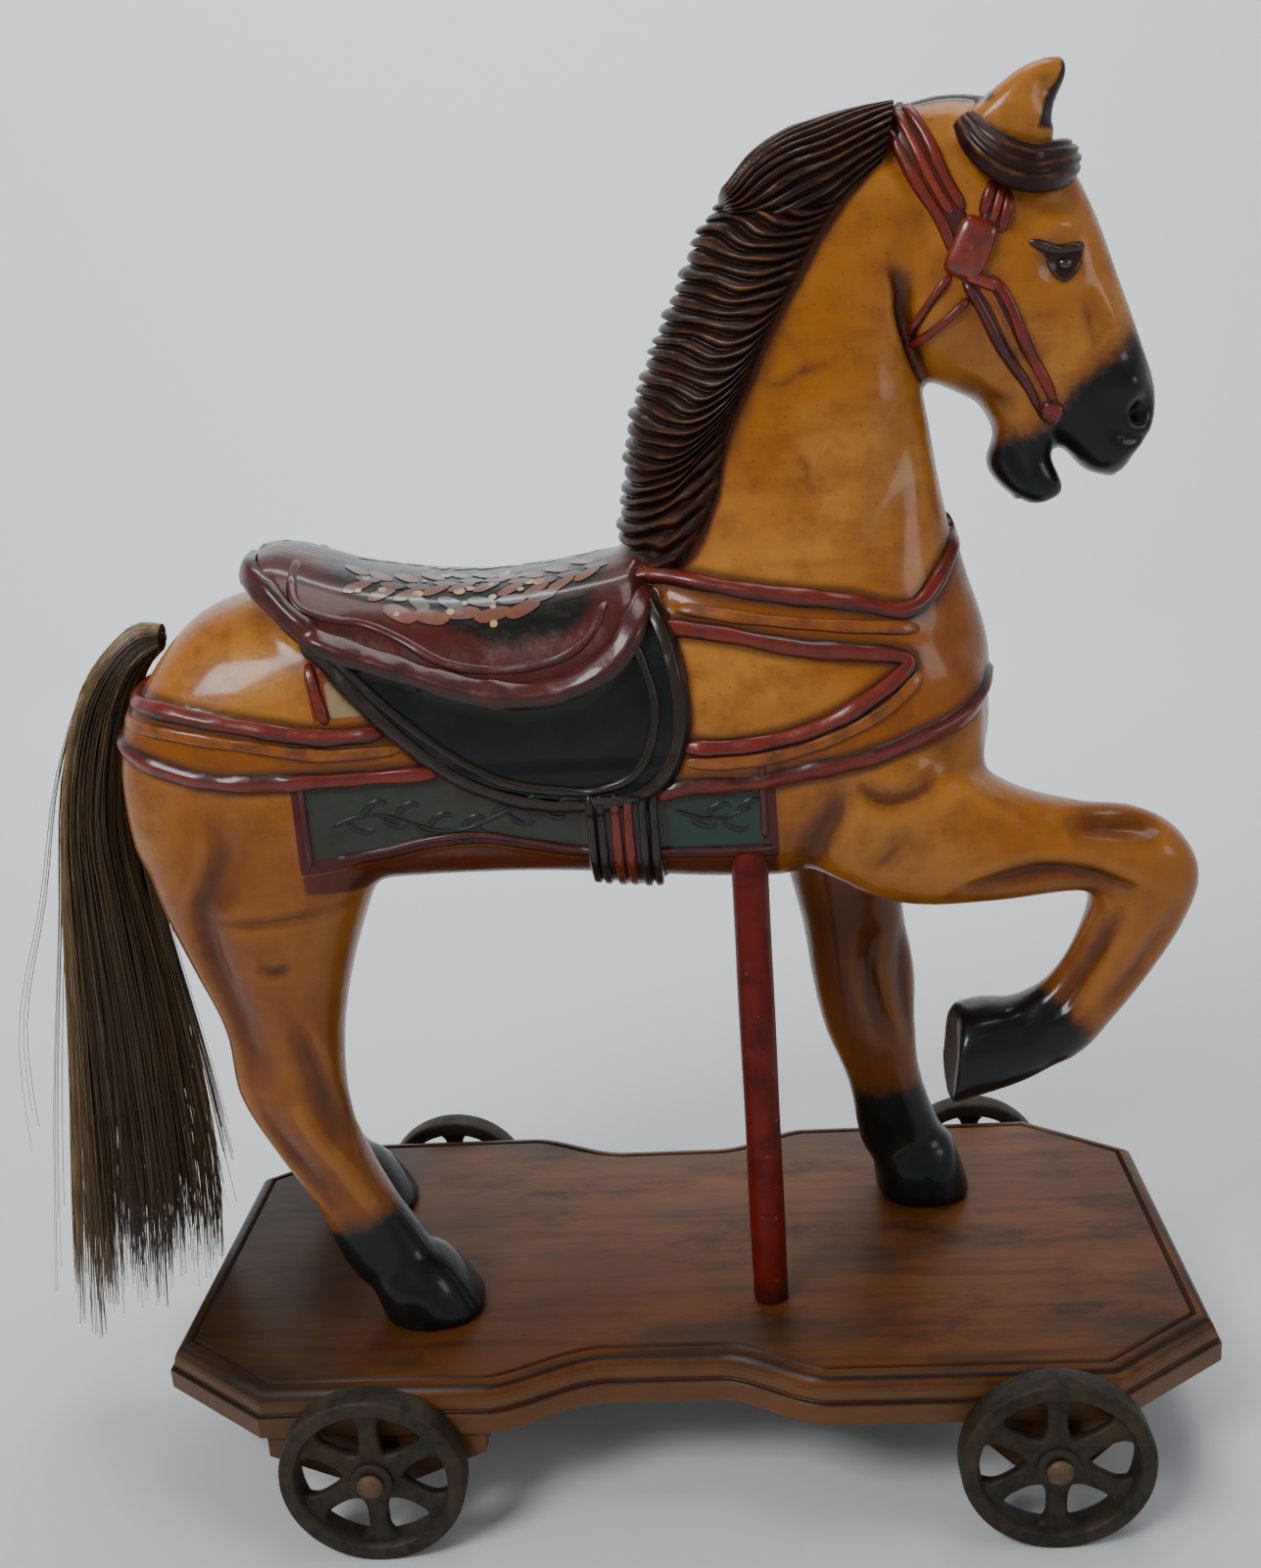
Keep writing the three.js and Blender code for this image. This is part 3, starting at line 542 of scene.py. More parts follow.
def carve(x, y, z, normals):
    """How far each point moves inwards for the carved lines and hollows, and the glaze and painted shade that
    lie in them.
    """
    facing = np.abs(normals[:, 1]) ** 0.7
    depth, groove_shade_and_glaze = np.zeros(len(x)), np.zeros(len(x))
    hind_x = np.where(y > 0, x - far_shift(z), x)
    for line, width, amount, dark, side, lean in CUTS:
        across = hind_x if line[0][0] < HIND_LINES else x
        near, along, beside = to_line(across, z, evenly(line))
        reach = width * (1 + lean * beside)
        shown = np.sin(math.pi * np.clip(along, 0.01, 0.99)) ** 0.6
        if side:
            shown = shown * smooth_between(-4, 6, side * y)
        depth += amount * shown * np.exp(-((near / reach) ** 2)) * facing
        groove_shade_and_glaze = np.maximum(groove_shade_and_glaze, dark * shown * np.exp(-((near / (1.3 * reach + 0.6)) ** 2)))
    for (cx, cz), width, amount in BODY_SPOTS:
        depth += amount * np.exp(-((x - cx) ** 2 + (z - cz) ** 2) / width**2) * facing
    return depth, groove_shade_and_glaze


# Painted shading, strongest at its [x, z]: half width, half height and strength.
SHADED = [((128, 462), 17, 22, 0.55), ((-165, 275), 60, 60, 0.35)]
# The heights between which the left foreleg darkens.
FAR_LEG_SHADE = (262, 215)
# The hooves on the board lie below this height.
LOW_HOOVES = 160
# A distance that counts as well clear of an outline or a line.
CLEAR = 50


def areas(x, y, z):
    """Signed distances, positive inside, of the painted areas, and the shading."""
    def within(*parts):
        return inside(x, z, np.vstack(parts))

    collar = within(evenly(COLLAR_TOP), [[150, 400], [150, 335]], evenly(COLLAR_LOW)[::-1])
    tongue = within(evenly(COLLAR_INNER), [[-10, 318], [-10, 365]])
    breeching = within(evenly(BREECHING_TOP), [[-60, 332], [-60, 315]], evenly(BREECHING_LOW)[::-1])
    blanket = evenly(BLANKET_EDGE)
    hind_x = np.where(y > 0, x - far_shift(z), x)
    low_black = np.where(x < 0, 117 + (hind_x + 136) * 0.3, 127.0 + (x - 95) * 0.1) - z
    shades = [strength * np.exp(-((x - cx) / wide) ** 2 - ((z - cz) / high) ** 2)
              for (cx, cz), wide, high, strength in SHADED]
    shades.append(np.where((y > 0) & (x > 20), smooth_between(*FAR_LEG_SHADE, z), 0))
    return {
        "seat": within(evenly(SEAT_EDGE), [[12, 430], [-170, 430]]),
        "skirt": within(evenly(SKIRT_EDGE), [[-8, 370], [-60, 372]]),
        "band": np.maximum(np.minimum(collar, -tongue), breeching),
        "blanket": within(blanket, [[BLANKET_RIGHT, BLANKET_TOP], [BLANKET_LEFT, BLANKET_TOP]]),
        "hem": within([[BLANKET_LEFT, 290]], blanket, [[BLANKET_RIGHT + 2, 240], [BLANKET_LEFT, 268]]),
        "girth": GIRTH_HALF - np.abs(x - GIRTH_MIDDLE),
        "black": np.maximum.reduce([
            within(MUZZLE_DARK), np.where(y < 0, within(RAISED_DARK), -CLEAR),
            np.where(z < LOW_HOOVES, low_black, -CLEAR),
        ]),
        "brown": np.maximum.reduce([within(EYE_DARK), within(EAR_DARK), within(POLL_DARK)]),
        "front": x - GIRTH_MIDDLE,
        "hip": within(HIP_PANEL),
        "shade": np.maximum.reduce(shades),
    }


def body_parts():
    flat = 0.01
    return joined([
        loft(TORSO, square=TRUNK_SQUARE, turns=72, per=10),
        loft(NECK, turns=64, per=10),
        loft(HEAD),
        loft(JAW),
        loft(HIND_LEG, side=-1),
        loft(far_hind(HIND_LEG)),
        loft(STANDING_LEG),
        loft(RAISED_LEG, side=-1),
        loft(HIND_HOOF, side=-1, dome=flat),
        loft(far_hind(HIND_HOOF), dome=flat),
        loft(STANDING_HOOF, dome=flat),
        loft(RAISED_HOOF, side=-1, dome=flat),
        loft(EAR, side=-1, dome=1),
        loft(EAR, dome=1),
        seat_block(),
    ])


VOXEL = 2.05
# How often each point moves towards the mean of its neighbours, and by what share.
SMOOTHINGS = 14
SMOOTHING = 0.55
# Where the smoothing is held back: the reach in x and in z, and the share that is left.
FIRM = [((95, 300), (395, 600), 0.25), ((-300, 300), (0, 100), 0.3), ((108, 165), (150, 210), 0.35)]
# How far the band, the skirt, the blanket and the girth stand out, and how deep the ears are hollowed.
BAND_HEIGHT, SKIRT_HEIGHT, BLANKET_HEIGHT, GIRTH_HEIGHT, EAR_HOLLOW = 1.5, 4.2, 1.0, 2.0, 1.4
# How much deeper the carving goes than its tables say.
CARVING = 1.6
# Skin that faces up or down more than this isn't marked by lines seen from the side.
FLAT = 0.95


def carved_body():
    """The horse's skin with its carving, and the values that its paint needs."""
    points, quads, edges = voxel_union(body_parts(), VOXEL)
    count = len(points)
    x, y, z = points.T
    firm = np.ones(count)
    for (x_low, x_high), (z_low, z_high), share in FIRM:
        firm *= np.where((x > x_low) & (x < x_high) & (z > z_low) & (z < z_high), share, 1)
    for _ in range(SMOOTHINGS):
        points += SMOOTHING * firm[:, None] * (neighbour_mean(points, edges, count) - points)
    normals = normals_of(points, quads)
    field = areas(x, y, z)
    depth, field["groove_shade_and_glaze"] = carve(x, y, z, normals)
    side_on = smooth_between(0.05, 0.35, np.hypot(normals[:, 0], normals[:, 1]))
    off_seat = 1 - smooth_between(-1, 1, field["seat"])

    def raised(key, height, wall=1.3):
        return height * smooth_between(-wall, wall, field[key]) * side_on

    out = raised("band", BAND_HEIGHT) * off_seat - CARVING * depth
    out = np.where(field["skirt"] > -3, raised("skirt", SKIRT_HEIGHT) * off_seat, out)
    out += raised("blanket", BLANKET_HEIGHT) * (z < BLANKET_TOP - 6)
    out += np.where((field["girth"] > -2) & (z < GIRTH_TOP + 1), raised("girth", GIRTH_HEIGHT, 1.0), 0)
    ears = smooth_between(0, 5, inside(x, z, np.array(EAR_DARK)))
    out -= EAR_HOLLOW * ears * smooth_between(0.1, 0.6, normals[:, 0])
    points += out[:, None] * normals
    stand = (z < SOLE + 6) & (np.abs(normals[:, 2]) > 0.6)
    points[stand, 2] = np.maximum(points[stand, 2], SOLE)
    normals = normals_of(points, quads)
    hollow = ((neighbour_mean(points, edges, count) - points) * normals).sum(axis=1)
    for _ in range(3):
        hollow = 0.4 * hollow + 0.6 * neighbour_mean(hollow, edges, count)
    field["hollow"] = np.clip(hollow * 5, -1, 1)

    def distance(*lines):
        near = np.minimum.reduce([to_line(x, z, evenly(line))[0] for line in lines])
        return np.where(np.abs(normals[:, 2]) > FLAT, CLEAR, near)

    field["bead"] = np.minimum(distance(*BEADS), CLEAR)
    field["mane_edge"] = distance(MANE_FRONT)
    return points, quads.tolist(), field


body_points, body_faces, body_field = carved_body()
skin = BVHTree.FromPolygons([Vector(p) for p in body_points], body_faces)


TRUNK_AXIS = (-150, 70)
HEAD_AXIS = (90, 210)
RAY_START = 300
HALVINGS = 11


def on_skin(x, z, side, axis=TRUNK_AXIS):
    """The point and normal of the skin seen from the side at x, z, going round the chest and rump."""
    axis_x = min(max(x, axis[0]), axis[1])
    low, high = (0.0, math.pi / 2) if x > axis_x else (math.pi / 2, math.pi)
    if x == axis_x:
        low = high = math.pi / 2

    def cast(turn):
        away = Vector((math.cos(turn), side * math.sin(turn), 0))
        start = Vector((axis_x, 0, z)) + RAY_START * away
        return skin.ray_cast(start, -away)

    for _ in range(HALVINGS if high > low else 0):
        turn = (low + high) / 2
        place = cast(turn)[0]
        if place is not None and place.x > x:
            low = turn
        else:
            high = turn
    place, normal, _, _ = cast((low + high) / 2)
    return place, normal


def settled(x, z, side, axis, fill=False):
    """Points and normals of the skin along a row, smoothed; spots clear of it are left out or filled."""
    spots = [on_skin(a, b, side, axis) for a, b in zip(x, z)]
    found = [i for i, spot in enumerate(spots) if spot[0] is not None]
    if fill:
        found = [min(found, key=lambda j: abs(j - i)) for i in range(len(spots))]
    spots = [spots[i] for i in found]
    places, normals = (np.array([spot[i] for spot in spots]) for i in (0, 1))
    for _ in range(2):
        places[1:-1] = (places[:-2] + 2 * places[1:-1] + places[2:]) / 4
        normals[1:-1] = (normals[:-2] + 2 * normals[1:-1] + normals[2:]) / 4
    return places, unit(normals)


# How many points lie across a bead or a band, and how far a band's edges sink into the skin.
ACROSS = 9
BAND_SINK = 1.0


def bead(line, width, height, side, step=2.0, sink=1.2, axis=TRUNK_AXIS):
    """A rounded ridge of the given width along a line on the skin, with each point's place across it."""
    route = evenly(line, step)
    places, normals = settled(route[:, 0], route[:, 1], side, axis)
    along = np.gradient(places, axis=0)
    along = unit(along)
    cross = np.cross(normals, along)
    share = np.linspace(-1, 1, ACROSS)
    profile = np.sqrt(np.clip(1 - share**4, 0, 1))
    run = lengths(places)
    ends = np.clip(np.minimum(run, run[-1] - run) / width, 0, 1) ** 0.5
    wobble = 1 + 0.07 * np.sin(run * 0.11 + width) + 0.05 * np.sin(run * 0.31)
    half = (width / 2 * wobble * (0.35 + 0.65 * ends))[:, None]
    rise = (height + sink) * profile[None, :] * (0.3 + 0.7 * ends)[:, None] * wobble[:, None] - sink
    points = places[:, None, :] + cross[:, None, :] * (half * share[None, :])[:, :, None]
    return strip_of(points + normals[:, None, :] * rise[:, :, None], normals[0], share)


def band(left, right, height, side, axis=TRUNK_AXIS):
    """A raised strip on the skin that fills the width between two lines."""
    a, b = evenly(left, 2), evenly(right, 2)
    count = max(len(a), len(b))
    at = np.linspace(0, 1, count)
    a, b = (sampled(at, np.linspace(0, 1, len(line)), line).T for line in (a, b))
    share = np.linspace(-1, 1, ACROSS)
    profile = np.sqrt(np.clip(1 - share**8, 0, 1))
    columns = []
    for s, rise in zip(share, profile):
        x, z = (a[i] + (s + 1) / 2 * (b[i] - a[i]) for i in (0, 1))
        places, normals = settled(x, z, side, axis, True)
        columns.append(places + ((height + BAND_SINK) * rise - BAND_SINK) * normals)
    return strip_of(np.stack(columns, 1), normals[0], share)


def strip_of(points, outward, share):
    faces = strip_faces(len(points), points.shape[1], closed=False)
    first = np.cross(points[1, 1] - points[0, 1], points[0, 2] - points[0, 1])
    if np.dot(first, outward) < 0:
        faces = flipped(faces)
    return points.reshape(-1, 3), faces, np.tile(share, len(points))


def add_strips(name, material, strips, field="across"):
    """One piece of several strips or locks, each with the values of a field on its points."""
    part = joined([(points, faces) for points, faces, _ in strips])
    item = add_object(name, part, {field: np.concatenate([values for _, _, values in strips])})
    return finish_piece(item, material, "horse_paint")


def both_sides(lines, width, height, **options):
    """The same ridges on both sides."""
    return [bead(line, width, height, side, **options) for line in lines for side in SIDES]


class Graph:
    """A material's nodes, made by short calls that return the output socket."""

    def __init__(self, name, **surface):
        self.material = bpy.data.materials.new(name)
        self.material.use_nodes = True
        self.tree = self.material.node_tree
        self.shader = self.tree.nodes["Principled BSDF"]
        for key, value in surface.items():
            self.set(self.shader.inputs[key.replace("_", " ")], value)

    def set(self, socket, value):
        if isinstance(value, bpy.types.NodeSocket):
            self.tree.links.new(value, socket)
        elif isinstance(value, tuple) and len(value) == 3 and socket.type == "RGBA":
            socket.default_value = (*value, 1)
        else:
            socket.default_value = value

    def node(self, kind, output=0, settings=None, inputs=None):
        made = self.tree.nodes.new(kind)
        for key, value in (settings or {}).items():
            setattr(made, key, value)
        for key, value in (inputs or {}).items():
            self.set(made.inputs[key], value)
        return made.outputs[output]

    def value(self, name):
        return self.node("ShaderNodeAttribute", "Fac", {"attribute_name": name})

    def place(self, scale=(1, 1, 1), turn=(0, 0, 0)):
        at = self.node("ShaderNodeTexCoord", "Object")
        return self.node("ShaderNodeMapping", 0, None, {"Vector": at, "Scale": scale, "Rotation": turn})

    def noise(self, scale, detail=4, rough=0.55, at=None, distortion=0.0):
        inputs = {"Scale": scale, "Detail": detail, "Roughness": rough, "Distortion": distortion}
        inputs["Vector"] = at or self.place()
        return self.node("ShaderNodeTexNoise", "Fac", None, inputs)

    def math(self, operation, a, b=0.0):
        return self.node("ShaderNodeMath", 0, {"operation": operation}, {0: a, 1: b})

    def times(self, a, b):
        return self.math("MULTIPLY", a, b)

    def add(self, a, b, share):
        """a and a share of b."""
        return self.math("ADD", a, self.times(b, share))

    def step(self, value, low, high, size=1.0):
        """0 at low, the given size at high, smooth between."""
        inputs = {"Value": value, "From Min": low, "From Max": high, "To Max": size}
        return self.node("ShaderNodeMapRange", 0, {"interpolation_type": "SMOOTHSTEP"}, inputs)

    def between(self, value, low, high):
        return self.node("ShaderNodeMapRange", 0, None, {"Value": value, "To Min": low, "To Max": high})

    def area(self, name, low=-0.3, high=0.3, size=1.0):
        """Where a painted area lies: its signed distance is kept on the points, positive inside."""
        return self.step(self.value(name), low, high, size)

    def axis(self, letter, vector=None):
        """One coordinate of a vector, in metres of the frame where none is given."""
        vector = vector or self.node("ShaderNodeTexCoord", "Object")
        return self.node("ShaderNodeSeparateXYZ", letter, None, {"Vector": vector})

    def mix(self, share, a, b):
        return self.node("ShaderNodeMix", 2, {"data_type": "RGBA"}, {0: share, 6: a, 7: b})

    def layers(self, colour, *coats):
        """A colour under coats of paint, each given as (share, paint)."""
        for share, paint in coats:
            colour = self.mix(share, colour, paint)
        return colour

    def bump(self, height, strength, distance, under=None):
        inputs = {"Height": height, "Strength": strength, "Distance": distance}
        if under:
            inputs["Normal"] = under
        return self.node("ShaderNodeBump", 0, None, inputs)

    def surface(self, **links):
        for key, value in links.items():
            self.set(self.shader.inputs[key.replace("_", " ")], value)
        return self.material


def paint_bumps(graph, strength=0.35):
    """Brush drag, drips and small dents under the varnish."""
    dents = graph.noise(60, 3)
    drag = graph.noise(420, 3, 0.6, graph.place((0.35, 1, 1)))
    coarse = graph.bump(dents, strength, 0.0026)
    return graph.bump(drag, strength, 0.0003, coarse)


def coat_material():
    """The varnished coat, then each painted area over it in turn."""
    graph = Graph("painted_horse", Coat_Weight=0.36, Coat_Roughness=0.12, Specular_IOR_Level=0.16)
    mix, step, area, add, times = graph.mix, graph.step, graph.area, graph.add, graph.times
    broad = graph.noise(16, 3)
    mottled = graph.noise(70, 5, 0.62)
    grain = graph.noise(55, 4, 0.6, graph.place((0.25, 1, 1.6)))
    specks = graph.noise(420, 2, 0.7)
    height, hollow = graph.axis("Z"), graph.value("hollow")
    panel = mix(step(mottled, 0.45, 0.7, 0.45), mix(area("front", 8, 12), PANEL_GREY, PANEL_TEAL), STAIN_AND_SHADE)
    frame_paint = mix(step(mottled, 0.4, 0.7, 0.5), MAROON, STAIN_AND_SHADE)
    framed = mix(area("blanket", 5.4, 6.4), frame_paint, panel)
    worn = mix(step(graph.noise(45, 5, 0.65), 0.42, 0.75), SKIRT_BLACK, (0.009, 0.01, 0.007))
    fray = times(graph.math("SUBTRACT", graph.noise(110, 5, 0.65), 0.5), 12)
    black_edge = add(graph.value("black"), fray, 1)
    colour = graph.layers(
        COAT,
        (step(broad, 0.35, 0.68), COAT_PALE),
        (step(mottled, 0.42, 0.76, 0.6), COAT_DEEP),
        (step(grain, 0.48, 0.78, 0.45), COAT_DEEP),
        (step(specks, 0.62, 0.76, 0.4), STAIN_AND_SHADE),
        # Painted shade: the coat darkens lower down the body, and in the spots of the shade field.
        (step(add(height, broad, 0.04), 0.38, 0.2, 0.8), COAT_DEEP),
        (times(graph.value("shade"), 0.75), (0.1, 0.026, 0.005)),
        # Painted highlight: the coat is paler on convex crests.
        (step(hollow, -0.08, -0.5, 0.3), COAT_PALE),
        # Painted shade and glaze along the carved lines.
        (times(graph.value("groove_shade_and_glaze"), add(0.3, mottled, 1.6)), GLAZE_AND_SHADE),
        # The blanket's hem, frame and panel, the harness and the patch behind the saddle.
        (area("hem", -0.5, 1.5, 0.85), frame_paint),
        (times(area("blanket"), step(height, 0.326, 0.323)), framed),
        (area("band"), mix(step(mottled, 0.4, 0.7, 0.6), OCHRE, COAT_DEEP)),
        (times(area("hip"), step(height, 0.337, 0.339)), mix(area("hip", 6.0, 7.0), BRICK, (0.3, 0.21, 0.11))),
        # Stain and painted shade beside the beads, in hollows and along the mane's front edge, where the skin
        # meets them.
        (step(add(graph.value("bead"), mottled, 3.0), 8.4, 4.8, 0.7), STAIN_AND_SHADE),
        (step(add(hollow, mottled, 0.2), 0.2, 0.8, 0.7), GLAZE_AND_SHADE),
        (step(add(graph.value("mane_edge"), mottled, 2.5), 4.4, 2.2, 0.85), (0.05, 0.008, 0.004)),
        # The girth, the skirt, the seat, the dark eyes and ears, the black muzzle and hooves.
        (times(area("girth"), step(height, 0.306, 0.304)), mix(area("girth", 9.2, 10), STAIN_AND_SHADE, RED)),
        (area("skirt"), worn),
        (area("seat", 0.2, 0.8), seat_colour(graph, mottled)),
        (step(add(graph.value("brown"), fray, 0.15), -0.8, 1.2), (0.03, 0.007, 0.004)),
        (step(black_edge, -11, 2, 0.7), GLAZE_AND_SHADE),
        (step(black_edge, -3, 4), BLACK),
    )
    rough = graph.between(mottled, 0.24, 0.46)
    return graph.surface(Base_Color=colour, Roughness=rough, Normal=paint_bumps(graph))


def seat_colour(graph, mottled):
    """A dark seat with loose smudges, inside a maroon border."""
    at = graph.place((0.8, 1.1, 1.1), (0.2, 0.1, 0.7))
    blots = graph.noise(60, 2.5, 0.5, at, 0.4)
    fine = graph.noise(120, 2, 0.5, at, 0.4)
    field = graph.layers(
        SKIRT_BLACK,
        (graph.step(fine, 0.5, 0.7), (0.02, 0.012, 0.008)),
        (graph.step(blots, 0.55, 0.62, 0.5), (0.07, 0.016, 0.007)),
    )
    border = graph.mix(graph.step(mottled, 0.4, 0.7, 0.5), MAROON, STAIN_AND_SHADE)
    return graph.mix(graph.step(graph.add(graph.value("seat"), fine, 9), 19, 25), border, field)


def line_material(name, colour, worn):
    """Paint on a raised ridge: uneven, and dark along its edges, with stain and painted shade where it meets
    the skin.
    """
    graph = Graph(name, Coat_Weight=0.4, Coat_Roughness=0.12, Specular_IOR_Level=0.3)
    mottled = graph.noise(110, 5, 0.62)
    streak = graph.noise(160, 3, 0.6, graph.place((0.4, 1, 1)))
    edge = graph.add(graph.math("ABSOLUTE", graph.value("across")), streak, 0.5)
    base = graph.layers(
        colour,
        (graph.step(mottled, 0.4, 0.7, 0.8), worn),
        (graph.step(edge, 0.85, 1.2, 0.9), STAIN_AND_SHADE),
    )
    rough = graph.between(mottled, 0.24, 0.48)
    return graph.surface(Base_Color=base, Roughness=rough, Normal=paint_bumps(graph, 0.4))


coat = coat_material()
red_paint = line_material("red_beads", RED, (0.08, 0.009, 0.004))
brick_paint = line_material("brick_straps", BRICK, (0.1, 0.014, 0.005))
maroon_paint = line_material("maroon_rims", MAROON, (0.03, 0.006, 0.004))
ochre_paint = line_material("ochre_straps", OCHRE, (0.1, 0.024, 0.004))
dark_paint = line_material("dark_rims", (0.016, 0.008, 0.006), (0.006, 0.005, 0.004))
motif_paint = line_material("panel_motif", (0.006, 0.005, 0.004), (0.012, 0.009, 0.007))
strap_paint = line_material("bridle_ground", (0.06, 0.011, 0.005), (0.03, 0.007, 0.004))

body = add_object("horse_body", (body_points, body_faces), body_field)
finish_piece(body, coat, "horse_paint", "horse")


# The raised harness lines.
def harness():
    beads = both_sides(BEADS, 7.0, 2.6)
    beads += both_sides([[[-127, 360], [-125, 350], [-121, 336]]], 5.5, 2.0)
    add_strips("harness_beads", red_paint, beads)
    add_strips("harness_ridges", ochre_paint, both_sides([*COLLAR_RIDGES, BREECHING_RIDGE], 6.0, 1.5))


def saddle_rims():
    """The rolled border of the seat, the double rim of the skirt and the blanket's frame."""
    rolls = both_sides([SEAT_EDGE[1:]], 11, 3.0) + both_sides([SEAT_ROLL], 4.4, 1.1)
    add_strips("saddle_rims", maroon_paint, rolls)
    rims = both_sides([SKIRT_EDGE], 8.5, 2.2) + both_sides([SKIRT_RIDGE], 4.2, 2.0)
    add_strips("skirt_rims", dark_paint, rims)
    low = [[x, z + 4.5] for x, z in BLANKET_EDGE[1:]]
    upright = [[[x, 318], [x, 300], [x, 280]] for x in (BLANKET_LEFT + 4.5, BLANKET_RIGHT - 4.5)]
    add_strips("blanket_frame", maroon_paint, both_sides([low, *upright], 3.2, 1.4))


def panel_motif():
    """A dark scrolling stem with narrow leaves on the blanket's panels."""
    strips = []
    for first, last, bow in ((-124, -30, 1), (10, 40, -1)):
        x = np.linspace(first, last, max(4, round((last - first) / 9)))
        z = 295 + 4.5 * bow * np.sin((x - first) * 0.1)
        stem = np.stack([x, z], 1)
        strips += both_sides([stem], 1.7, 0.5, step=1.5, sink=0.3)
        for i, (leaf_x, leaf_z) in enumerate(evenly(stem, 6.5)[1:-1]):
            up = 1 if i % 2 else -1
            curl = [[leaf_x, leaf_z], [leaf_x + 3, leaf_z + 3.6 * up], [leaf_x + 8, leaf_z + 5.6 * up],
                    [leaf_x + 11, leaf_z + 4 * up]]
            strips += both_sides([curl], 2.8, 0.5, step=1.2, sink=0.3)
    add_strips("panel_motif", motif_paint, strips)


def on_seat(x, turn):
    """The seat's skin at x, turned from its crest round to the left or right."""
    away = Vector((0, math.sin(turn), math.cos(turn)))
    place, normal, _, _ = skin.ray_cast(Vector((x, 0, 330)) + 200 * away, -away)
    return np.array(place), np.array(normal)


def petal(x, turn, course, length, width):
    """A painted leaf shape lying on the seat."""
    points = []
    for u in np.linspace(-1, 1, 9):
        half = width / 2 * math.sqrt(max(0.0, 1 - abs(u) ** 2.4)) + 0.05
        for v in (-1, -0.4, 0.4, 1):
            dx = length / 2 * u * math.cos(course) - half * v * math.sin(course)
            arc = length / 2 * u * math.sin(course) + half * v * math.cos(course)
            place, normal = on_seat(x + dx, turn + arc / 56)
            points.append(place + 0.35 * normal)
    faces = strip_faces(9, 4, closed=False)
    if np.cross(points[1] - points[0], points[4] - points[0])[2] >= 0:
        faces = flipped(faces)
    return np.array(points), faces


def seat_motif():
    """Sprays of leaves with rows of dots, painted on both sides of the seat."""
    rust, slate, cream = [], [], []
    for side in SIDES:
        for i in range(10):
            x = -112 + 10 * i
            turn = 0.36 + 0.07 * math.sin(1.1 * i)
            rust.append(petal(x, side * (turn - 0.12), 0.7 * side, 13, 5.6))
            rust.append(petal(x + 3, side * (turn + 0.13), -0.75 * side, 13, 5.2))
            slate.append(petal(x + 6, side * (turn + 0.02), 0.15 * side, 10, 5))
        for i in range(5):
            x = -91 + 12 * i
            rust.append(petal(x, side * (0.74 + 0.03 * (i % 2)), (0.5 - 0.25 * i) * side, 15, 6.5))
            slate.append(petal(x + 7, side * 0.64, (0.9 - 0.3 * i) * side, 12, 5.5))
        for _ in range(26):
            x, turn = -66 + 22 * random.normal(0, 1), side * random.uniform(0.08, 0.85)
            size = random.uniform(1.8, 4.6)
            cream.append(petal(min(max(x, -118), -18), turn, 0, size, size))
    for name, shapes, paint in (("seat_leaves", rust, rust_paint), ("seat_shadows", slate, slate_paint),
                                ("seat_dots", cream, cream_paint)):
        finish_piece(add_object(name, joined(shapes)), paint, "horse_paint")


def girth_strap():
    def course(dx, low=GIRTH_LOW):
        x = GIRTH_MIDDLE + dx
        return [[x, GIRTH_TOP], [x, 282], [x, low]]

    left, right = course(-GIRTH_HALF)[::2], course(GIRTH_HALF)[::2]
    strips = [band(left, right, 2.4, side) for side in SIDES]
    for dx in (-12, -8, 8, 12):
        strips += both_sides([course(dx)], 4.4, 4.0)
    add_strips("girth_rims", dark_paint, strips)
    centre = [course(dx, GIRTH_LOW + 2) for dx in (-2.4, 2.4)]
    add_strips("girth_centre", red_paint, both_sides(centre, 5.0, 3.9))


def bridle():
    def ridges(lines, width, height):
        return both_sides(lines, width, height, axis=HEAD_AXIS)

    upper = [[98, 545.5], [102.5, 533], [109, 518.5], [118.5, 502], [122.5, 490.5]]
    upper_right = [[109.5, 545], [115.8, 533], [122, 519], [129, 505]]
    lower, lower_right = [[125, 482.5], [132, 469.5], [140, 454.5], [150.5, 440.5], [155, 432]], [
        [138, 483.5], [144, 475.5], [150, 461], [158.3, 446.5], [163.5, 436]]
    brow, brow_right = [[132.5, 503], [135, 511], [137.5, 518]], [[141, 497], [143.5, 505], [144.5, 512]]
    grounds = [band(left, right, 1.4, side, HEAD_AXIS) for side in SIDES for left, right in (
        (upper, upper_right), (lower, lower_right), (brow, brow_right))]
    add_strips("bridle_ground", strap_paint, grounds)
    red = [
        [[99.2, 545], [103.4, 533], [110.1, 518.6], [119.7, 502.3], [123.7, 490.5]],
        [[107.8, 544.4], [114.5, 533], [120.4, 519], [127.4, 506]],
        [[136, 483.3], [142.1, 475], [148.2, 460.7], [156.5, 446], [161.7, 435.5]],
        [[133.5, 503], [136, 511], [138.5, 517]],
        [[140, 497.5], [142.3, 505.5], [143.5, 512]],
    ]
    thin = [[[122.5, 485], [114, 474], [107.5, 463.5]], [[129, 476], [117.5, 466.3], [108, 459.5]]]
    add_strips("bridle_red", red_paint, ridges(red, 5.0, 3.2) + ridges(thin, 3.8, 2.6))
    middle = [
        [[103.4, 544.8], [108.9, 533], [115.2, 519], [123.4, 504.2]],
        [[136.7, 500], [139.2, 508], [141.2, 515]],
    ]
    add_strips("bridle_brick", brick_paint, ridges(middle, 4.2, 3.0))
    add_strips("bridle_brown", maroon_paint, ridges([
        [[126.6, 482.5], [133.7, 470.1], [141.8, 455.5], [152.2, 441.6], [156, 433]]], 4.4, 3.0))
    add_strips("bridle_ochre", ochre_paint, ridges([
        [[131.3, 483], [137.9, 472.5], [145, 458], [154.4, 443.8], [158.9, 434.2]]], 4.6, 2.2))


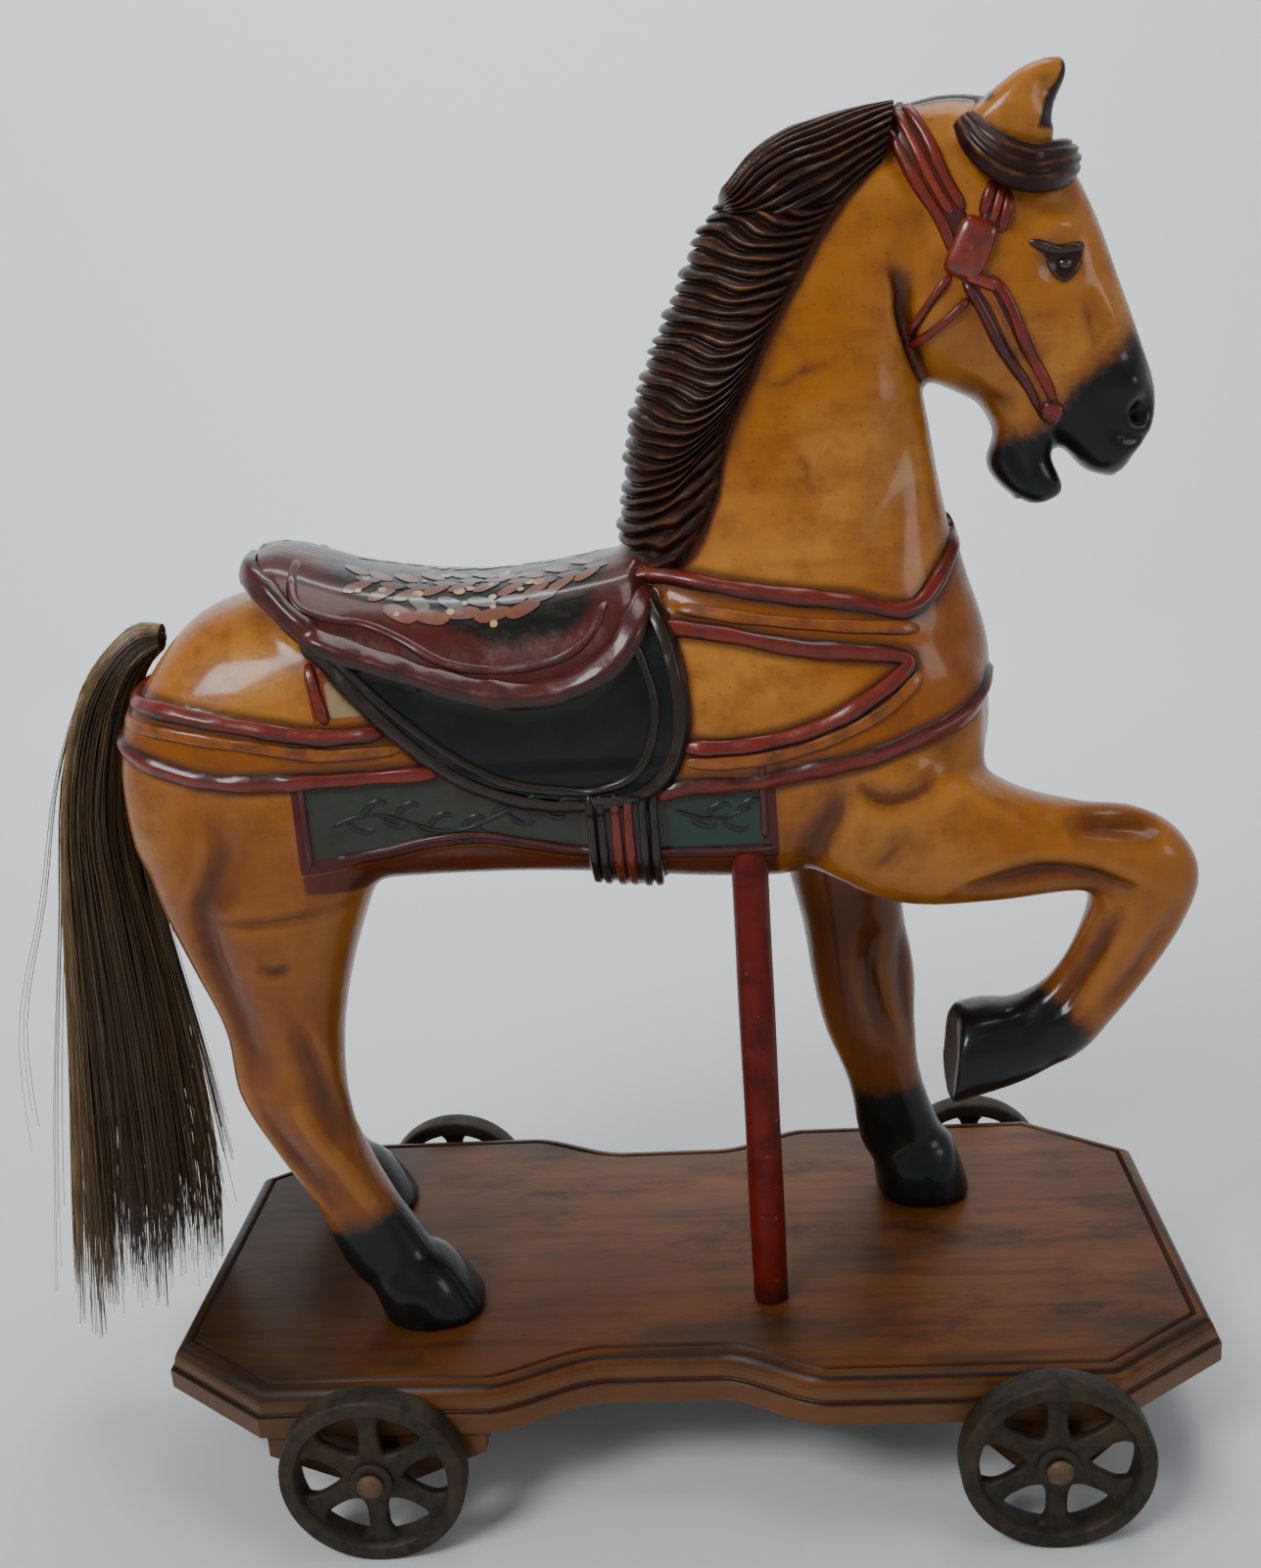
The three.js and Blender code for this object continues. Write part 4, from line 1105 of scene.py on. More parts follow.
def boss(name, centre, across, along, tilt, height, side, paint, square=2.6):
    """A domed oval standing on the skin."""
    rings, turns = 9, 40
    points, share = [], []
    for ring in range(rings + 1):
        reach = 1 - ring / rings
        for turn in around(turns):
            u = across * reach * squared(np.cos(turn), square)
            v = along * reach * squared(np.sin(turn), square)
            x = centre[0] + u * math.cos(tilt) + v * math.sin(tilt)
            z = centre[1] - u * math.sin(tilt) + v * math.cos(tilt)
            place, normal = on_skin(x, z, side, HEAD_AXIS)
            rise = height * (1 - reach**4) ** 0.5 - (1.5 if ring == 0 else 0)
            points.append(np.array(place) + rise * np.array(normal))
            share.append(reach)
    faces = strip_faces(rings + 1, turns)
    faces.append(list(range(rings * turns, (rings + 1) * turns)))
    if side < 0:
        faces = flipped(faces)
    item = add_object(name, (np.array(points), faces), {"across": share})
    return finish_piece(item, paint, "horse_paint")


def rosettes():
    for side, word in SIDES.items():
        boss(f"rosette_{word}", (129.5, 493), 7.6, 11.6, 0.42, 4.4, side, rosette_paint, 4.5)
        boss(f"rosette_tab_{word}", (133, 481.5), 6.5, 2.6, 0.42, 3.6, side, rosette_paint, 4)
        boss(f"bit_boss_{word}", (160.5, 432.5), 5.0, 4.2, 0.42, 3.2, side, red_paint)


def eyes():
    """A small glossy ball under a heavy dark lid on each side."""
    for side, word in SIDES.items():
        place, normal = on_skin(164, 485.5, side, HEAD_AXIS)
        part = ball(np.array(place) - 1.2 * np.array(normal), (3.1, 2.6, 2.6))
        finish_piece(add_object(f"eye_{word}", part), eye_paint, "horse_paint")
        upper = [[150, 494], [155, 492.3], [161, 490.5], [166, 490.8], [171.5, 491.5]]
        lower = [[157, 487.5], [160, 482], [164, 479.5], [168, 482.5], [170.5, 487]]
        lids = [bead(line, width, height, side, step=1, axis=HEAD_AXIS)
                for line, width, height in ((upper, 4.2, 1.8), (lower, 1.4, 0.6))]
        add_strips(f"eyelids_{word}", lid_paint, lids)


def ball(centre, radii):
    lat, lon = np.linspace(0.12, math.pi - 0.12, 14)[:, None], around(24)[None, :]
    ball = np.stack([np.sin(lat) * np.cos(lon), np.sin(lat) * np.sin(lon), np.cos(lat) + 0 * lon], -1)
    tips = np.array([[0, 0, 1], [0, 0, -1]]) * radii + centre
    points, faces = capped(ball * radii + centre, tips)
    return points, flipped(faces)


# The mane seen from the side: some of its locks, each as five [x, z] points from its crest to its front edge,
# and its half width at each height.
LOCK_LINES = [
    [[45, 520], [53, 519], [63, 515], [73, 511.5], [84, 513.5]],
    [[33, 507.5], [41, 507], [52, 502], [63, 499.5], [74.5, 501]],
    [[24, 489], [34, 486.5], [45, 481.5], [56, 482], [66, 487]],
    [[11, 463], [20, 460], [32, 455], [43, 458], [54.5, 468]],
    [[1.5, 437], [12, 434], [24, 433], [35, 439], [46, 451]],
    [[-2.5, 411], [6, 411], [17, 414], [28, 424], [37.5, 434]],
    [[-5, 397], [3, 396], [12, 398], [22, 405], [31.5, 411]],
    [[-3, 386], [1, 383], [6, 382], [12, 384], [19, 389]],
]
MANE_HALF = [(366, 50), (387, 46.5), (411, 41.5), (437, 37.5), (464, 33.5), (492, 29.5), (515, 26)]
THROAT = [(366, 133), (387, 132), (411, 128), (437, 124), (464, 122), (492, 124), (515, 128)]
MANE_SQUARE = 2.4
LOCK_SPACING = 5.2


def ridged(phase):
    """The rounded top of a carved lock, with narrow grooves between."""
    return np.abs(np.sin(math.pi * phase)) ** 0.7


def neck_locks():
    """Wavy carved locks from the crest of the neck forward to their tips on both sides."""
    table = through(np.array(LOCK_LINES).reshape(len(LOCK_LINES), 10), 54)
    lines = table.reshape(len(table), 5, 2)
    crest = lines[:, 0]
    run = lengths(crest)
    by_height = np.argsort(crest[:, 1])
    half_at, throat_at = np.array(MANE_HALF), np.array(THROAT)
    columns = 62
    rows, ridge = [], []
    for line, start in zip(lines, run):
        fine = through(line, 20)
        along = (fine[:, 0] - fine[0, 0]) / (fine[-1, 0] - fine[0, 0])
        middle = (fine[0, 0] + np.interp(fine[0, 1], *throat_at.T)) / 2
        cosine = np.clip((middle - fine[-1, 0]) / (middle - fine[0, 0]), 0, 0.95)
        front_turn = math.acos(cosine ** (MANE_SQUARE / 2))
        turn = np.linspace(0, front_turn, columns)
        share = (1 - np.cos(turn) ** (2 / MANE_SQUARE)) / (1 - math.cos(front_turn) ** (2 / MANE_SQUARE))
        x, z = (np.interp(share, along, fine[:, i]) for i in (0, 1))
        crest_x = np.interp(z, crest[by_height, 1], crest[by_height, 0])
        centre = (crest_x + np.interp(z, *throat_at.T)) / 2
        cosine = np.clip((centre - x) / (centre - crest_x), 0, 1)
        half = np.interp(z, *half_at.T)
        y = half * (1 - cosine**MANE_SQUARE) ** (1 / MANE_SQUARE)
        out = np.stack([-(cosine ** (MANE_SQUARE - 1)) / (centre - crest_x),
                        (1 - cosine**MANE_SQUARE) ** (1 - 1 / MANE_SQUARE) / half, 0 * x], 1)
        out = unit(out)
        phase = start / LOCK_SPACING + 0.22 * np.sin(6.5 * share + start * 0.09)
        phase = phase + 0.09 * np.sin(13 * share + start * 0.3)
        lock = ridged(phase)
        strength = 0.82 + 0.18 * np.sin(np.floor(phase) * 2.3)
        strand = ridged(2 * phase + 0.3 * np.sin(4 * share))
        edge = np.clip((1 - share) * 8, 0, 1) ** 0.5
        rise = edge * (4.3 * lock * strength + 0.35 * strand - 1.0) - (1 - edge) * 6.5
        half_row = np.stack([x, y, z], 1) + out * rise[:, None]
        half_row[0, 1] = 0
        rows.append(np.vstack([(half_row * [1, -1, 1])[:0:-1], half_row]))
        value = 0.8 * lock + 0.2 * strand
        ridge.append(np.concatenate([value[:0:-1], value]))
    points = np.array(rows)
    faces = strip_faces(len(points), points.shape[1], closed=False)
    return points.reshape(-1, 3), faces, np.concatenate(ridge)


def top_tuft():
    """Long locks that sweep back from the poll over the top of the neck."""
    middle, along, half = sections(TUFT, 26)
    turns = 300
    angle = np.linspace(-math.pi, math.pi, turns, endpoint=False)
    rings, ridge = [], []
    last_ring = len(half) - 1
    for ring, (centre, up, width) in enumerate(zip(middle, along, half)):
        length = np.linalg.norm(up)
        share = ring / last_ring
        phase = np.abs(angle) * 15 / math.pi - 2.6 * share**2 + 0.25 * np.sin(6 * share + 3 * np.abs(angle))
        lock = ridged(phase)
        strand = ridged(2 * phase + 0.4 * math.sin(5 * share))
        out = 2.8 * lock + 0.7 * strand - 0.6
        line = centre + np.outer((length + out) * squared(np.cos(angle), 2.2), up / length)
        line[:, 1] += (width + out) * squared(np.sin(angle), 2.2)
        rings.append(line)
        ridge.append(0.8 * lock + 0.2 * strand)
    rings = np.array(rings)
    outward = rings[-1].mean(axis=0) - rings[-6].mean(axis=0)
    outward /= np.linalg.norm(outward)
    for size, reach in ((0.86, 2.2), (0.6, 4.0), (0.3, 5.0)):
        centre = middle[-1]
        rings = np.concatenate([rings, (centre + size * (rings[last_ring] - centre) + reach * outward)[None]])
        ridge.append(ridge[last_ring])
    tips = np.array([rings[0].mean(axis=0) + [3, 0, 1], middle[-1] + 5.4 * outward])
    points, faces = capped(rings, tips)
    return points, faces, np.concatenate([*ridge, [0.5, 0.5]])


def lock_sweep(route, width, depth, grooves, side):
    """A flat carved lock with grooves along it, through [x, y, z] points on the right side."""
    path = evenly(route, 1.2)
    path[:, 1] *= -side
    along = np.gradient(path, axis=0)
    along = unit(along)
    outward = np.stack([np.zeros(len(path)), np.full(len(path), float(side)), np.full(len(path), 0.35)], 1)
    turn_front = np.clip((path[:, 0] - 150) / 14, 0, 1)[:, None]
    outward = outward * (1 - turn_front) + np.array([1.0, 0.2 * side, 0.3]) * turn_front
    cross = np.cross(along, outward)
    cross = unit(cross)
    lift = np.cross(cross, along)
    turns = 48
    angle = around(turns)
    ridge = np.abs(np.sin(grooves * np.cos(angle) * math.pi / 2 + 0.4)) ** 0.7
    swell = np.sin(np.linspace(0.25, math.pi - 0.35, len(path))) ** 0.5
    reach = np.outer(swell * width, np.cos(angle))
    rise = np.outer(swell, np.sin(angle)) * (depth + 2.6 * ridge * (np.sin(angle) > 0))
    rings = path[:, None] + cross[:, None] * reach[:, :, None] + lift[:, None] * rise[:, :, None]
    points, faces = capped(rings, np.array([path[0] - along[0], path[-1] + along[-1]]))
    if side > 0:
        faces = flipped(faces)
    return points, faces, np.concatenate([np.tile(ridge, len(path)), [0.5, 0.5]])


# The right lock of the forelock, as [x, y, z] from behind the ear round to the forehead.
FORELOCK = [
    [128, -20, 537], [133, -25, 529], [141, -28, 522], [151, -27, 518.5], [160, -20, 519.5], [166, -8, 522],
    [167, 2, 525],
]


def mane_material():
    graph = Graph("carved_mane", Coat_Weight=0.18, Coat_Roughness=0.15, Specular_IOR_Level=0.15)
    mottled = graph.noise(90, 4, 0.6)
    streak = graph.noise(240, 3, 0.6, graph.place((0.4, 1, 1.2)))
    ridge = graph.add(graph.value("ridge"), graph.math("SUBTRACT", streak, 0.5), 0.55)
    colour = graph.layers(
        MANE_DARK,
        (graph.step(mottled, 0.4, 0.7), (0.034, 0.008, 0.005)),
        # Ochre paint and a painted highlight on the ridge tops; painted shade in the grooves.
        (graph.step(ridge, 0.86, 1.12, 0.7), MANE_RIDGE),
        (graph.step(ridge, 0.42, 0.12), (0.006, 0.003, 0.002)),
    )
    rough = graph.between(mottled, 0.3, 0.55)
    return graph.surface(Base_Color=colour, Roughness=rough, Normal=paint_bumps(graph, 0.4))


def plain_paint(name, colour, worn, rough=0.35, gloss=0.5, blur=0.12):
    graph = Graph(name, Roughness=rough, Coat_Weight=gloss, Coat_Roughness=blur)
    mottled = graph.noise(120, 4, 0.6)
    base = graph.mix(graph.step(mottled, 0.4, 0.7), colour, worn)
    return graph.surface(Base_Color=base, Normal=paint_bumps(graph, 0.2))


rust_paint = plain_paint("seat_rust", RUST, (0.09, 0.02, 0.007))
slate_paint = plain_paint("seat_slate", SLATE, (0.1, 0.03, 0.012))
cream_paint = plain_paint("seat_cream", CREAM, (0.36, 0.2, 0.06))
rosette_paint = plain_paint("rosette_paint", (0.2, 0.022, 0.006), (0.1, 0.012, 0.005), 0.3, 0.6)
eye_paint = plain_paint("eye_gloss", (0.03, 0.009, 0.005), (0.012, 0.005, 0.004), 0.12, 1.0, 0.04)
lid_paint = line_material("eyelid_paint", (0.05, 0.018, 0.008), (0.02, 0.008, 0.004))
mane_paint = mane_material()

harness()
saddle_rims()
panel_motif()
seat_motif()
girth_strap()
bridle()
rosettes()
eyes()
add_strips("mane", mane_paint, [neck_locks(), top_tuft()], "ridge")
add_strips("forelock", mane_paint, [lock_sweep(FORELOCK, 9, 5, 4.2, side) for side in SIDES], "ridge")


# The tail of real hair.
CORE_TURNS = 180
# The x of the core's middle at each height.
CORE_MIDDLE = [(110, -248), (158, -244), (250, -241), (308, -235), (330, -227), (345, -217), (369, -203)]


def tail_core():
    """The dense middle of the hair, with fine ridges along it, and the tone of its points."""
    points, faces = loft(TAIL[:-2], turns=CORE_TURNS, per=10, square=(2, 2), dome=2, grow=-3.0)
    angle = np.arange(len(points)) % CORE_TURNS
    ridges = 0.8 + 0.14 * np.abs(np.sin(angle * 1.31)) * np.abs(np.sin(angle * 0.37))
    centre_x = np.interp(points[:, 2], *np.array(CORE_MIDDLE).T)
    points[:, 0] = centre_x + (points[:, 0] - centre_x) * ridges
    points[:, 1] *= ridges
    return (points, faces), 0.15 + 0.25 * np.abs(np.sin(angle * 0.9))


CLUMPS = 74
HAIRS_PER_CLUMP = 30
HAIR_PIECES = 20
CLUMP_LENGTHS = ((0.93, 1.0), (0.88, 0.98), (0.72, 0.95))
HAIR_RADIUS = (0.28, 0.46)


def hair():
    """Single hairs in loose locks, from the root in the rump down to uneven tips."""
    middle, along, half = sections(TAIL, 8)
    run = np.linspace(0, 1, len(half))
    at = np.linspace(0, 1, HAIR_PIECES)
    paths, tones = [], []
    for _ in range(CLUMPS):
        turn = random.uniform(0, 2 * math.pi)
        reach = math.sqrt(random.uniform(0.05, 1.0))
        drift = random.normal(0, 0.2, 2)
        fore = reach * math.cos(turn)
        tone = np.clip(0.25 + 0.75 * abs(fore + 0.12) + random.normal(0, 0.16), 0, 1)
        length = random.choice([random.uniform(*reaches) for reaches in CLUMP_LENGTHS])
        for _ in range(HAIRS_PER_CLUMP):
            own = random.normal(0, 0.11, 2)
            end = min(1.0, length * random.uniform(0.94, 1.02))
            s = at * end
            u = fore + own[0] + drift[0] * s**2
            v = reach * math.sin(turn) + own[1] + drift[1] * s**2
            size = np.maximum(1.0, np.hypot(u, v) / 1.04)
            u, v = u / size, v / size
            path = sampled(s, run, middle)
            path += sampled(s, run, along) * u[:, None]
            path[:, 1] += np.interp(s, run, half) * v
            path[:, 0] += 0.8 * np.sin(s * random.uniform(9, 16) + random.uniform(0, 6)) * s
            path[:, 1] += 0.8 * np.sin(s * random.uniform(9, 16) + random.uniform(0, 6)) * s
            paths.append(path)
            tones.append(np.clip(tone + random.normal(0, 0.12), 0, 1))
    for route, count, spread in STRAYS:
        y = random.uniform(-14, 2)
        for _ in range(count):
            paths.append(stray(route, y, spread, at))
            tones.append(random.uniform(0.1, 0.9))
    return hairs_mesh(paths, tones)


# Thin locks that hang clear of the bundle: their [x, z] course, their number of hairs and their spread.
STRAYS = [
    ([[-207, 358], [-221, 345], [-222, 300], [-217, 240], [-209, 175], [-204, 122]], 22, 1.6),
    ([[-207, 358], [-221, 345], [-223, 300], [-219, 240], [-213, 160], [-209, 96]], 18, 2.0),
    ([[-207, 358], [-222, 345], [-224, 300], [-222, 240], [-217, 150], [-221, 66]], 26, 2.6),
    ([[-207, 358], [-219, 345], [-221, 300], [-214, 262], [-203, 226], [-199, 206]], 9, 1.0),
    ([[-207, 362], [-232, 350], [-252, 310], [-266, 240], [-284, 150], [-300, 52]], 5, 1.6),
    ([[-207, 362], [-232, 350], [-254, 310], [-272, 250], [-292, 190], [-297, 120]], 3, 2.6),
]


def stray(route, y, spread, at):
    """One hair of a thin lock."""
    course = np.array([[x, 0, z] for x, z in route], float)
    course[:, 1] = np.linspace(0, y, len(course))
    curve = through(course, 8)
    end = random.uniform(0.9, 1.0)
    run = np.linspace(0, 1, len(curve))
    path = sampled(at * end, run, curve)
    path[:, 0] += random.normal(0, spread) * at**1.5
    path[:, 1] += random.normal(0, spread) * at
    return path


def hairs_mesh(paths, tones):
    """Thin three-sided tubes along the paths, tapering to the tip."""
    paths = np.array(paths)
    along = np.gradient(paths, axis=1)
    along = unit(along)
    first = np.cross(along, [0, 1, 0.2])
    first = unit(first)
    second = np.cross(along, first)
    pieces = paths.shape[1]
    taper = np.linspace(1, 0.35, pieces)[None, :, None, None]
    radius = random.uniform(*HAIR_RADIUS, len(paths))[:, None, None, None]
    turns = np.array([0, 2, 4]) * math.pi / 3
    ring = first[:, :, None] * np.cos(turns)[:, None] + second[:, :, None] * np.sin(turns)[:, None]
    points = paths[:, :, None] + ring * radius * taper
    strand = np.array(strip_faces(pieces, 3))
    faces = (strand[None] + (np.arange(len(paths)) * pieces * 3)[:, None, None]).reshape(-1, 4)
    caps = [[end - 3, end - 2, end - 1] for end in range(pieces * 3, len(paths) * pieces * 3 + 1, pieces * 3)]
    tone = np.repeat(np.array(tones), pieces * 3)
    return (points.reshape(-1, 3), faces.tolist() + caps), tone


def hair_material():
    graph = Graph("horse_hair", Roughness=0.42, Coat_Weight=0.15, Coat_Roughness=0.3)
    streak = graph.noise(300, 3, 0.6, graph.place((1, 1, 0.05)))
    mixed = graph.add(graph.value("tone"), graph.math("SUBTRACT", streak, 0.5), 0.9)
    colour = graph.layers(
        (0.008, 0.006, 0.005),
        (graph.step(mixed, 0.12, 0.4), (0.075, 0.042, 0.018)),
        (graph.step(mixed, 0.5, 0.78), (0.16, 0.092, 0.036)),
        (graph.step(mixed, 0.86, 1.05), (0.34, 0.22, 0.1)),
    )
    return graph.surface(Base_Color=colour, Normal=graph.bump(streak, 0.25, 0.0003))


hair_look = hair_material()
for name, (part, tone), stands_for in (("tail_hair", hair(), ["tail"]), ("tail_core", tail_core(), [])):
    finish_piece(add_object(name, part, {"tone": tone}), hair_look, "tail_hair", *stands_for)


# The platform.
BOARD = {
    "low": 50, "step": 59.5, "top": 70,
    "half_length": 221, "half_end": 70, "half_width": 104, "half_waist": 87, "chamfer": 48,
}
# Where the board's sides start and stop curving inwards, and outwards again.
WAIST = (-81, -31, 14, 59)
WAIST_STEPS = 22
SHARP_BOARD, SHARP_WHEEL, SHARP_AXLE = (math.radians(degrees) for degrees in (32, 45, 50))


def board_outline():
    """The board's edge seen from above, anticlockwise, with its serpentine waist."""
    ease = smooth_between(0, 1, np.linspace(0, 1, WAIST_STEPS))
    length, end, wide, narrow = (BOARD[f"half_{part}"] for part in ("length", "end", "width", "waist"))
    corner = length - BOARD["chamfer"]
    a, b, c, d = WAIST
    inward = np.stack([np.linspace(a, b, WAIST_STEPS), -(wide + (narrow - wide) * ease)], 1)
    outward = np.stack([np.linspace(c, d, WAIST_STEPS), -(narrow + (wide - narrow) * ease)], 1)
    rear, front = [[-length, -end], [-corner, -wide]], [[corner, -wide], [length, -end]]
    right = np.vstack([rear, inward, outward, front])
    return np.vstack([right, right[::-1] * [1, -1]])


def drawn_in(outline, inset):
    """The outline moved inwards by the same distance all round."""
    before = outline - np.roll(outline, 1, axis=0)
    after = np.roll(outline, -1, axis=0) - outline
    normals = []
    for edge in (before, after):
        edge = unit(edge)
        normals.append(np.stack([-edge[:, 1], edge[:, 0]], 1))
    half = normals[0] + normals[1]
    half /= (half * half).sum(axis=1, keepdims=True) / 2
    return outline + inset * half


def platform():
    """The board with its plain fascia, rounded moulding and a groove near the edge of its top."""
    outline = board_outline()
    low, step, top = BOARD["low"], BOARD["step"], BOARD["top"]
    profile = [(3, low), (0.5, low), (0, low + 0.5), (0, step - 0.6), (0.5, step), (1.3, step)]
    profile.append((1.5, step + 0.4))
    ovolo = np.linspace(0, math.pi / 2, 9)
    rise = top - 0.2 - step - 0.6
    profile += [(1.7 + 6.4 * (1 - math.cos(turn)), step + 0.6 + rise * math.sin(turn)) for turn in ovolo]
    groove = [(8.9, 0.1), (9.6, 1.5), (10.2, 1.9), (10.8, 1.5), (11.5, 0.1), (12.2, 0)]
    profile += [(inset, top - deep) for inset, deep in groove]
    count = len(outline)
    rings = np.array([np.column_stack([drawn_in(outline, inset), np.full(count, z)]) for inset, z in profile])
    last = (len(rings) - 1) * count
    faces = strip_faces(len(rings), count) + [list(range(count))[::-1], [last + i for i in range(count)]]
    item = add_object("board", (rings.reshape(-1, 3), faces))
    item.data.shade_flat()
    item.data.polygons.foreach_set("use_smooth", [len(face) < 5 for face in faces])
    item.data.set_sharp_from_angle(angle=SHARP_BOARD)
    finish_piece(item, board_wood, "board_wood", "platform")


def wood_material():
    """Stained wood: long grain, dark smears, a darker rear end, paler sides that are partly worn and partly a
    painted highlight, and dark lines in the mouldings.
    """
    graph = Graph("board_wood", Coat_Weight=0.05, Coat_Roughness=0.25, Specular_IOR_Level=0.18)
    step, times = graph.step, graph.times
    broad = graph.noise(9, 4, 0.6, graph.place((0.6, 1.4, 1)))
    grain = graph.noise(130, 5, 0.65, graph.place((0.08, 1, 1)))
    smear = graph.noise(38, 5, 0.7, graph.place((0.4, 1, 1)))
    specks = graph.noise(520, 2, 0.6)
    clouds = graph.noise(14, 5, 0.6, graph.place((0.5, 1.2, 1)))
    height = graph.axis("Z")
    flat_up = graph.axis("Z", graph.node("ShaderNodeNewGeometry", "True Normal"))
    groove = times(step(height, 0.0699, 0.0688), step(height, 0.0675, 0.0682))
    deep = (0.018, 0.008, 0.004)
    base = graph.layers(
        (0.085, 0.026, 0.005),
        (step(broad, 0.35, 0.65), (0.14, 0.045, 0.008)),
        (step(grain, 0.45, 0.75, 0.6), deep),
        (step(smear, 0.48, 0.72, 0.75), deep),
        (step(specks, 0.66, 0.76, 0.4), STAIN_AND_SHADE),
        (step(clouds, 0.5, 0.66, 0.7), (0.03, 0.018, 0.011)),
        (step(graph.add(graph.axis("X"), smear, 0.07), -0.03, -0.11, 0.7), (0.016, 0.01, 0.006)),
        # The upright sides are paler: worn wood and a painted highlight.
        (step(flat_up, 0.5, 0.2, 0.55), (0.15, 0.07, 0.03)),
        (times(groove, step(flat_up, 0.3, 0.5)), STAIN_AND_SHADE),
        (times(step(height, 0.0588, 0.0594), step(height, 0.0615, 0.0602, 0.8)), STAIN_AND_SHADE),
    )
    relief = graph.bump(grain, 0.3, 0.0005, graph.bump(smear, 0.25, 0.001))
    return graph.surface(Base_Color=base, Roughness=graph.between(smear, 0.3, 0.55), Normal=relief)


board_wood = wood_material()
platform()
for bolster in ("bolster_front", "bolster_rear"):
    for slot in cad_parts[bolster].material_slots:
        slot.material = board_wood


def turned(profile, turns):
    """Rings of points round the y axis from [radius, y] points."""
    angle = around(turns)
    profile = np.array(profile, float)
    radius, y = profile[:, 0, None], profile[:, 1, None]
    return np.stack([radius * np.cos(angle), y + 0 * angle, radius * np.sin(angle)], -1)


POLE = {"x": 38, "y": -45, "radius": 7.5, "low": 62.3, "top": 277}


def pole():
    """A slightly uneven dowel."""
    x, y, low, top = POLE["x"], POLE["y"], POLE["low"], POLE["top"]
    angle = around(48)
    rings = []
    for height in np.linspace(low, top, 60):
        wide = POLE["radius"] * (0.985 + 0.012 * math.sin(height * 0.07))
        wide = wide * (1 + 0.006 * np.sin(3 * angle + height * 0.05))
        rings.append(np.stack([x + wide * np.cos(angle), y + wide * np.sin(angle), height + 0 * angle], 1))
    tips = np.array([[x, y, low - 0.01], [x, y, top + 0.01]])
    finish_piece(add_object("red_pole", capped(np.array(rings), tips)), pole_material(), "pole_paint", "pole")


def pole_material():
    graph = Graph("pole_paint", Specular_IOR_Level=0.2)
    mottled = graph.noise(80, 5, 0.65)
    streak = graph.noise(150, 4, 0.6, graph.place((1, 1, 0.12)))
    chips = graph.noise(260, 3, 0.7)
    base = graph.layers(
        (0.13, 0.008, 0.003),
        (graph.step(mottled, 0.4, 0.7), (0.065, 0.005, 0.003)),
        (graph.step(streak, 0.52, 0.75, 0.6), (0.05, 0.01, 0.007)),
        (graph.step(graph.axis("Z"), 0.084, 0.071, 0.8), STAIN_AND_SHADE),
        (graph.step(chips, 0.68, 0.72, 0.7), (0.3, 0.14, 0.07)),
    )
    return graph.surface(Base_Color=base, Roughness=0.42, Normal=paint_bumps(graph))


pole()


# Cast-iron wheels and axles.
WHEEL = {"radius": 38, "inner": 31, "half": 6, "hub": 10, "y": 111}
SPOKES = 6
AXLE_X = {"front": 146, "rear": -126}
AXLE_HEIGHT = 38
AXLE_REACH = 118.5


def ring_body(profile, turns):
    """A turned ring whose [radius, y] profile closes on itself."""
    rings = turned(profile, turns).transpose(1, 0, 2)
    count = len(profile)
    faces = strip_faces(turns, count)
    last = (turns - 1) * count
    faces += [[last + i, last + (i + 1) % count, (i + 1) % count, i] for i in range(count)]
    return rings.reshape(-1, 3), faces


def spoke(turn):
    """A broad spoke that flares into the hub and the rim."""
    reach = np.linspace(WHEEL["hub"] - 2, WHEEL["inner"] + 1.5, 24)
    middle = (WHEEL["hub"] + WHEEL["inner"]) / 2
    away = np.abs((reach - middle) / (WHEEL["inner"] - middle))
    wide = 4.1 + 7.0 * away**3.4 * np.where(reach > middle, 1, 0.35)
    thick = 2.5 + 0.8 * away**2
    angle = around(20)
    across, along = squared(np.sin(angle), 3.5), squared(np.cos(angle), 3.5)
    rings = np.stack([reach[:, None] + 0 * angle, thick[:, None] * across, wide[:, None] * along], -1)
    spin = np.array([[math.cos(turn), 0, -math.sin(turn)], [0, 1, 0], [math.sin(turn), 0, math.cos(turn)]])
    rings = rings @ spin.T
    return capped(rings, np.array([rings[0].mean(axis=0), rings[-1].mean(axis=0)]))


def wheel(name, x, side):
    half, radius, inner, hub = WHEEL["half"], WHEEL["radius"], WHEEL["inner"], WHEEL["hub"]
    tyre = [
        (inner, -half + 0.8), (inner + 0.8, -half), (radius - 1.4, -half), (radius - 0.4, -half + 0.5),
        (radius, -half + 1.6), (radius, half - 1.6), (radius - 0.4, half - 0.5), (radius - 1.4, half),
        (inner + 0.8, half), (inner, half - 0.8), (inner - 0.6, 2.6), (inner - 0.9, 0), (inner - 0.6, -2.6),
    ]
    low_hub = [(4.6, -half), (7.4, -half), (8.4, -half + 0.7), (8.6, -3.4), (hub, -2.8)]
    hub_profile = low_hub + [(hub + 0.6, 0)] + [(r, -y) for r, y in low_hub[::-1]]
    parts = [ring_body(tyre, 96), ring_body(hub_profile, 48)]
    parts += [spoke(2 * math.pi * (i + 0.5) / SPOKES) for i in range(SPOKES)]
    points, faces = joined(parts)
    points = points + [x, side * WHEEL["y"], AXLE_HEIGHT]
    item = add_object(f"iron_{name}", (points, faces))
    item.data.set_sharp_from_angle(angle=SHARP_WHEEL)
    finish_piece(item, iron, "wheel_iron", name, body=name)


